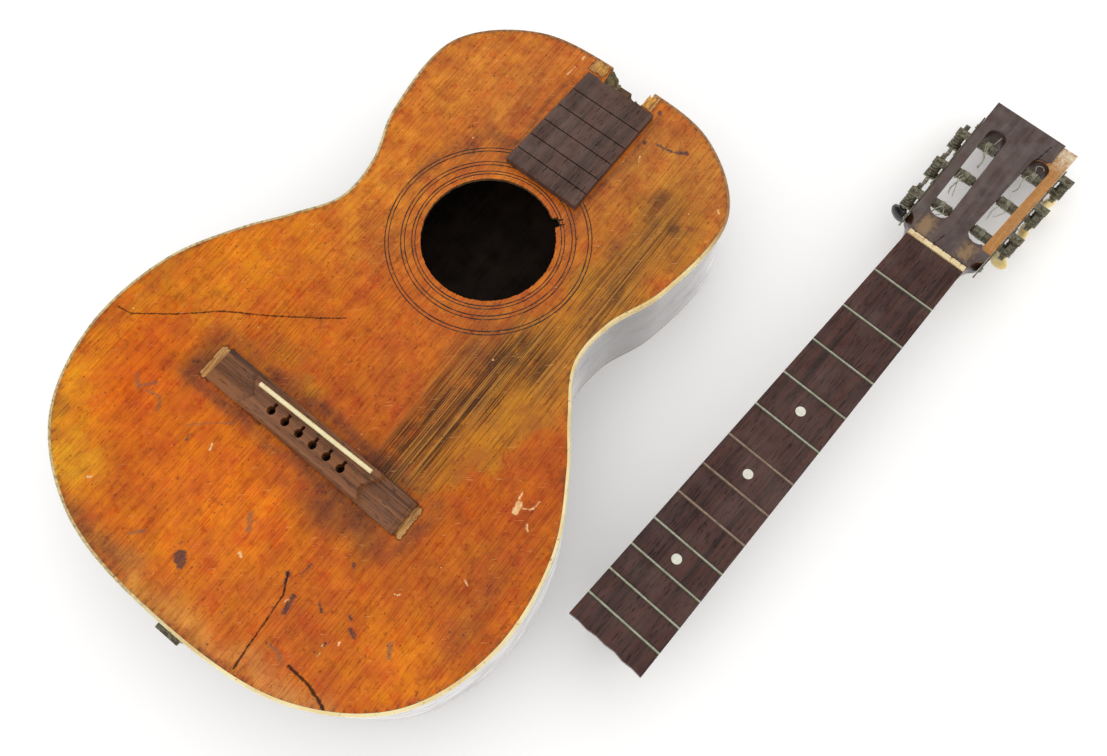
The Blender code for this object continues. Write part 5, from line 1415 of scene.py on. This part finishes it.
def smooth_curve(values: np.ndarray, where: np.ndarray) -> np.ndarray:
    """A curve through evenly spaced values: on each span the cubic with slopes (next - last) / 2.

    Args:
        values: the values to pass through.
        where: places along, counted in spans.

    Returns:
        The curve's value at each place.
    """
    slope = np.gradient(values)
    i = np.minimum(where.astype(int), len(values) - 2)
    t = where - i
    return ((2 * t ** 3 - 3 * t ** 2 + 1) * values[i] + (t ** 3 - 2 * t ** 2 + t) * slope[i]
            + (3 * t ** 2 - 2 * t ** 3) * values[i + 1] + (t ** 3 - t ** 2) * slope[i + 1])


@dataclass
class TunerSet:
    """Screws on the plates and gears, and the remains of strings on the rollers."""

    wire: float = 0.32 * MM
    roller: float = 3.6 * MM
    slot_in: float = 19.5 * MM
    turns: float = 4.0
    rng: np.random.Generator = field(default_factory=lambda: np.random.default_rng(77))

    def frame_of(self, label: str) -> tuple[np.ndarray, np.ndarray, np.ndarray, np.ndarray]:
        """A gear's place, its axis and two directions square to it, from its joint."""
        joint = next(j for j in frame["joints"] if j["name"] == "turn_roller_" + label)
        axis = np.array(joint["axis"], dtype=float)
        axis /= np.linalg.norm(axis)
        up = np.array([0.0, 0.1989, 0.98]) - axis * float(np.dot(axis, (0.0, 0.1989, 0.98)))
        up /= np.linalg.norm(up)
        return np.array(joint["pos_m"], dtype=float), axis, up, np.cross(up, axis)

    def remains(self, label: str, side: Side, finish: bpy.types.Material) -> None:
        """Wire wound round a roller, and the bent ends that stand away from it in the slot.

        The winding is a helix of the roller's radius. Each loose end is a smooth curve through
        the points of its table entry, which count from the roller's middle in its slot.
        """
        place, axis, up, across = self.frame_of(label)
        start = place - side.value * axis * self.slot_in
        a = np.linspace(0, self.turns * 2 * np.pi, 70) + self.rng.uniform(0, 2 * np.pi)
        shift = np.linspace(-2.2, 1.4, len(a)) * MM
        path = (start + axis * shift[:, None] + up * ((self.roller + self.wire) * np.cos(a))[:, None]
                + across * ((self.roller + self.wire) * np.sin(a))[:, None])
        piece = Surface("string_remains_" + label, body="gear_" + label, slot="tuner_metal")
        piece.grid(tube(path, self.wire, 6), ring_columns=True, caps=True)
        tip = across if across[1] > 0 else -across
        for radius, points in STRANDS.get(label, ()):
            bends = np.array(points, dtype=float)
            share = np.linspace(0, len(bends) - 1, 12 * len(bends))
            near = np.column_stack([smooth_curve(bends[:, k], share) for k in range(3)]) * MM
            path = start + near[:, :1] * axis + near[:, 1:2] * tip + near[:, 2:] * up
            piece.grid(tube(path, radius * MM, 6), ring_columns=True, caps=True)
        piece.build([finish], sharp=1.2)

    def gear_screw(self, label: str, side: Side, metal: bpy.types.Material, dark: bpy.types.Material) -> None:
        """The screw that holds a gear on its axle."""
        place, axis, up, across = self.frame_of(label)
        outward = axis * side.value
        turn = Matrix(np.column_stack((up, np.cross(outward, up), outward)).tolist()).to_4x4()
        matrix = Matrix.Translation(place + outward * 2.72 * MM) @ turn
        piece = Surface("gear_screw_" + label, body="gear_" + label, slot="tuner_metal")
        dome, bar = Screw(1.9, 0.8).points(matrix, self.rng.uniform(0, 3.1))
        piece.grid(dome, ring_columns=True, caps=True)
        piece.grid(bar, ring_columns=True, caps=True, finish=1)
        piece.build([metal, dark])

    def plate_screws(self, side: Side, metal: bpy.types.Material, dark: bpy.types.Material) -> None:
        """Four screws along a plate, in line between the gears."""
        first, axis, up, across = self.frame_of(side.word + "_1")
        last = self.frame_of(side.word + "_3")[0]
        along = (last - first) / np.linalg.norm(last - first)
        outward = axis * side.value
        turn = Matrix(np.column_stack((up, np.cross(outward, up), outward)).tolist()).to_4x4()
        piece = Surface("plate_screws_" + side.word, slot="tuner_metal")
        steps = (-25.0, 13.5, 48.5, 82.5) if side is Side.BASS else (-25.0, 21.5, 56.5, 87.5)
        for step in steps:
            spot = first + along * step * MM - outward * 4.75 * MM
            dome, bar = Screw(2.0, 0.9).points(Matrix.Translation(spot) @ turn, self.rng.uniform(0, 3.1))
            piece.grid(dome, ring_columns=True, caps=True)
            piece.grid(bar, ring_columns=True, caps=True, finish=1)
        piece.build([metal, dark])

    def build(self) -> None:
        """Dress the machines and add what the solids leave out."""
        metal = CorrodedMetal().material()
        dark = CorrodedMetal("slot_shadow", "#2A241C", "#14100C", "#241F18").material()
        old_wire = Wire().material()
        names = [name for name in frame["nodes"] if name.startswith(("tuner_plate", "worm_", "gear_"))]
        dress(sorted(names) + ["tail_bracket"], metal)
        for side in Side:
            self.plate_screws(side, metal, dark)
            for number in (1, 2, 3):
                label = "%s_%d" % (side.word, number)
                self.gear_screw(label, side, metal, dark)
                self.remains(label, side, old_wire)


@dataclass
class Bridge:
    """The bridge: low wings scooped out of a raised block, six pin holes with string slots."""

    length: float = 152.0
    front: float = 2.6
    width: float = 23.6
    wing: float = 3.2
    block: float = 7.6
    block_half: float = 49.5
    pin_radius: float = 2.75
    pin_spacing: float = 11.2
    pin_y: float = -11.4
    cell: float = 0.36
    string_x: float = -1.6
    string_yaw: float = -0.024435
    plugs: tuple = ((-57.5, -11.0), (57.5, -11.0))

    def on_top(self, x: np.ndarray, y: np.ndarray, height: np.ndarray) -> np.ndarray:
        """From millimetres along and across the bridge and above the top to metres on the table."""
        c, s = np.cos(self.string_yaw), np.sin(self.string_yaw)
        wx, wy = self.string_x + c * x - s * y, s * x + c * y
        return np.dstack((wx * MM, wy * MM, FORM.top_height(wy * MM) + height * MM))

    def height(self, x: np.ndarray, y: np.ndarray) -> np.ndarray:
        """Height of the upper face over the top.

        The block ends where |x| = half - 6.5 exp(-((y - m) / 7)^2): a round tool has cut the
        wings. The step is 3t^2 - 2t^3. The rear edge of the block is a quarter of an ellipse.
        """
        back = self.front - self.width
        end = self.block_half - 6.5 * np.exp(-((y - back - 9.0) / 7.0) ** 2)
        t = np.clip((end + 2.4 - np.abs(x)) / 2.4, 0, 1)
        step = t * t * (3 - 2 * t)
        rear = np.clip((y - back) / 5.0, 0, 1)
        top = self.wing + (self.block - self.wing) * np.sqrt(np.clip(1 - (1 - rear) ** 2, 0, 1))
        front = np.clip((self.front - y) / 1.4, 0, 1)
        top -= 1.1 * (1 - front) ** 2
        wing = self.wing - 0.5 * (1 - np.clip((self.length / 2 - np.abs(x)) / 0.8, 0, 1)) ** 2
        wing -= 0.4 * (1 - np.clip((y - back) / 0.8, 0, 1)) ** 2
        wing -= 0.45 * np.exp(-((x - 73.6) / 0.3) ** 2)
        worn = (lattice_noise(x, y, 9.0, 1.6, 40) - 0.5) * 0.16
        return wing + (top - wing) * step + worn

    def build(self, wood: bpy.types.Material) -> None:
        """A fine grid of heights; points near a hole's edge are moved onto its circle.

        The walls of the holes are the cells between the edge and the points inside, which are
        dropped to the top; the cells at the bottom are left out, so that the hole is open onto the
        board below, which is painted near black as painted shade.
        """
        half, back = self.length / 2, self.front - self.width
        columns, rows = int(self.length / self.cell), int(self.width / self.cell)
        x, y = np.meshgrid(np.linspace(-half, half, columns), np.linspace(back, self.front, rows))
        inside = np.zeros(x.shape, dtype=bool)
        for i in range(6):
            dx, dy = x - (i - 2.5) * self.pin_spacing, y - self.pin_y
            away = np.hypot(dx, dy)
            edge = np.abs(away - self.pin_radius) < self.cell * 0.52
            x = np.where(edge, x + dx * (self.pin_radius / np.maximum(away, 0.1) - 1), x)
            y = np.where(edge, y + dy * (self.pin_radius / np.maximum(away, 0.1) - 1), y)
            inside |= (away < self.pin_radius) & ~edge
            inside |= (np.abs(dx) < 0.8) & (dy > 0) & (dy < self.pin_radius + 2.6)
        height = np.where(inside, 0.2, self.height(x, y))
        points = self.on_top(x, y, height)
        quads = grid_faces(rows, columns, False, False)
        open_cells = inside.ravel()[quads].all(axis=1)
        piece = Surface("bridge_scooped", slot="bridge_wood")
        piece.grid(points)
        piece.faces = [face for face, gone in zip(piece.faces, open_cells) if not gone]
        piece.marks = [0] * len(piece.faces)
        ring_x = np.concatenate((x[0], x[:, -1], x[-1, ::-1], x[::-1, 0]))
        ring_y = np.concatenate((y[0], y[:, -1], y[-1, ::-1], y[::-1, 0]))
        ring_h = np.concatenate((height[0], height[:, -1], height[-1, ::-1], height[::-1, 0]))
        walls = [self.on_top(ring_x, ring_y, h)[0] for h in (np.full_like(ring_h, 0.1), ring_h)]
        piece.grid(np.stack(walls), ring_columns=True)
        piece.build([wood], sharp=0.75, replaces=("bridge",))
        plugs = Surface("bridge_plugs", slot="bridge_wood")
        for px, py in self.plugs:
            spot = self.on_top(np.array([px]), np.array([py]), np.array([self.wing]))[0, 0]
            plugs.grid(Screw(2.4, 0.35).points(Matrix.Translation(spot.tolist()), 0.4)[0], ring_columns=True,
                       caps=True)
        plugs.build([wood])


@dataclass
class Solids:
    """Finishes of the solids that are shown as they are."""

    yaw: float = -0.069464

    def build(self) -> None:
        """Woods, bone, frets, dots, buttons and the hidden timber."""
        board = Rosewood("fingerboard_rosewood", "#523530", "#38241E", "#6A3426", self.yaw)
        dress(["fingerboard"], board.material())
        piece = Rosewood("extension_rosewood", "#5E4439", "#432F27", "#6A4334", -0.0244, dust=0.06)
        dress(["fingerboard_extension"], piece.material())
        dress(["head_veneer"], HeadVeneer().material())
        bridge = Rosewood("bridge_rosewood", "#8A5530", "#452716", "#9A6034", -0.0244, rough=0.34, dust=-0.06,
                          along=False).material()
        Bridge().build(bridge)
        dress(["saddle"], Bone("saddle_bone", "#F3E4B4", "#D8B878", 0.3).material())
        bright = FretMetal("fret_bright", "#F2F2D8", "#A2AC74", 0.35, 0.28).material()
        dull = FretMetal("fret_dull", "#A58A78", "#7C6050", 0.7, 0.60, 0.15).material()
        for number in range(1, 13):
            dress(["fret_%02d" % number], dull if number in (6, 7, 8) else bright)
        dress(["dot_fifth", "dot_seventh", "dot_tenth"], Pearl().material())
        dress(["neck"], NeckWood().material())
        cream = MouldedButton("cream_button", "#F7E9B4", "#EBCB7A", 0.15).material()
        dress(["button_treble_%d" % n for n in (1, 2, 3)], cream)
        dress(["button_bass_1"], MouldedButton("black_button", "#1C1B1B", "#2E2C2B", 0.0).material())
        brace = RawWood("pale_brace_wood", "#E2B284", "#B98A5C").material()
        dress(["back_brace_%s" % part for part in ("upper", "middle", "lower")], brace)
        timber = RawWood("aged_inner_wood", "#7E5835", "#50361F").material()
        hidden = ["neck_block", "tail_block", "top_lining", "back_lining", "bridge_plate"]
        hidden += ["top_brace_%s" % part for part in ("upper", "middle", "lower")]
        dress(hidden, timber)


# ---------------------------------------------------------------------------------------------
# The studio
# ---------------------------------------------------------------------------------------------

@dataclass
class Studio:
    """White table, soft light and the camera at the photograph's angle."""

    eye: tuple[float, float, float] = (0.2053, -0.0603, 0.7182)
    look: tuple[float, float, float] = (-0.2450, 0.2502, -0.9367)
    up: tuple[float, float, float] = (-0.5695, 0.7448, 0.3478)
    lens: float = 35.68
    shift: tuple[float, float] = (0.06032, -0.04119)
    soft_level: float = 1.0
    glossy_level: float = 0.06

    def camera(self) -> None:
        """Place the camera: it looks along -Z of its own frame, with Y up."""
        data = bpy.data.cameras.new("camera")
        data.lens, data.sensor_width = self.lens, 36.0
        data.shift_x, data.shift_y = self.shift
        data.clip_start = 0.01
        back = -Vector(self.look).normalized()
        right = Vector(self.up).cross(back).normalized()
        turn = Matrix((right, back.cross(right), back)).transposed().to_4x4()
        eye = bpy.data.objects.new("camera", data)
        eye.matrix_world = Matrix.Translation(self.eye) @ turn
        bpy.context.scene.collection.objects.link(eye)
        bpy.context.scene.camera = eye

    def lamp(self, name: str, place: tuple, aim: tuple, size: float, power: float) -> None:
        """A square area lamp that faces a point."""
        data = bpy.data.lights.new(name, "AREA")
        data.size, data.energy = size, power
        lamp = bpy.data.objects.new(name, data)
        lamp.location = place
        lamp.rotation_euler = (Vector(aim) - Vector(place)).to_track_quat("-Z", "Y").to_euler()
        bpy.context.scene.collection.objects.link(lamp)

    def floor(self) -> None:
        """A large white plane, lifted to white for the camera and in reflections."""
        r = Recipe("white_table")
        path = r.add("LightPath").node.outputs
        seen = r.add("Math", path["Is Camera Ray"], r.add("Math", path["Is Glossy Ray"],
                                                          path["Is Transmission Ray"], operation="MAXIMUM"),
                     operation="MAXIMUM")
        mirrored = r.add("Math", path["Is Glossy Ray"], 0.45, operation="MULTIPLY")
        material = r.finish(Base_Color="#F5F4F2", Roughness=0.9, Emission_Color="#FFFFFF",
                            Emission_Strength=r.add("Math", r.add("Math", seen, 0.17, operation="MULTIPLY"),
                                                    mirrored, operation="ADD"), Specular_IOR_Level=0.1)
        size = 6.0
        corners = [(-size, -size, 0.0), (size, -size, 0.0), (size, size, 0.0), (-size, size, 0.0)]
        mesh = bpy.data.meshes.new("table_top")
        mesh.from_pydata([(x, y, -0.05 * MM) for x, y, z in corners], [], [(0, 1, 2, 3)])
        mesh.materials.append(material)
        plane = bpy.data.objects.new("table_top", mesh)
        bpy.context.scene.collection.objects.link(plane)

    def world(self) -> None:
        """Even white surroundings, white to the camera."""
        world = bpy.data.worlds.new("studio")
        world.use_nodes = True
        tree = Nodes(world.node_tree)
        back = world.node_tree.nodes["Background"].inputs
        path = tree.add("LightPath").node.outputs
        seen = tree.add("MapRange", path["Is Camera Ray"], To_Min=self.soft_level)
        tree.feed(back["Color"], "#FFFFFF")
        tree.feed(back["Strength"], tree.add("Mix", path["Is Glossy Ray"], seen, self.glossy_level))
        bpy.context.scene.world = world

    def build(self) -> None:
        """Set the stage."""
        bpy.context.scene.view_settings.view_transform = "Standard"
        self.world()
        self.floor()
        self.camera()
        self.lamp("soft_box_neck_end", (-0.15, 0.95, 1.6), (0.0, 0.2, 0.0), 1.1, 1.5)
        self.lamp("soft_box_tail", (-0.15, -0.70, 1.45), (0.0, -0.1, 0.0), 0.9, 1.2)
        self.lamp("soft_box_low", (-0.42, -1.60, 0.95), (0.0, -0.05, 0.05), 0.8, 1.6)


def main() -> None:
    """Build every sub-assembly in order."""
    logging.basicConfig(level=logging.INFO, format="%(message)s")
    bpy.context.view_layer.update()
    Studio().build()
    Top().build()
    Rosette().build()
    Shell().build()
    TornJoint().build()
    Solids().build()
    ChippedNut().build()
    TunerSet().build()


if __name__ == "__main__":
    main()
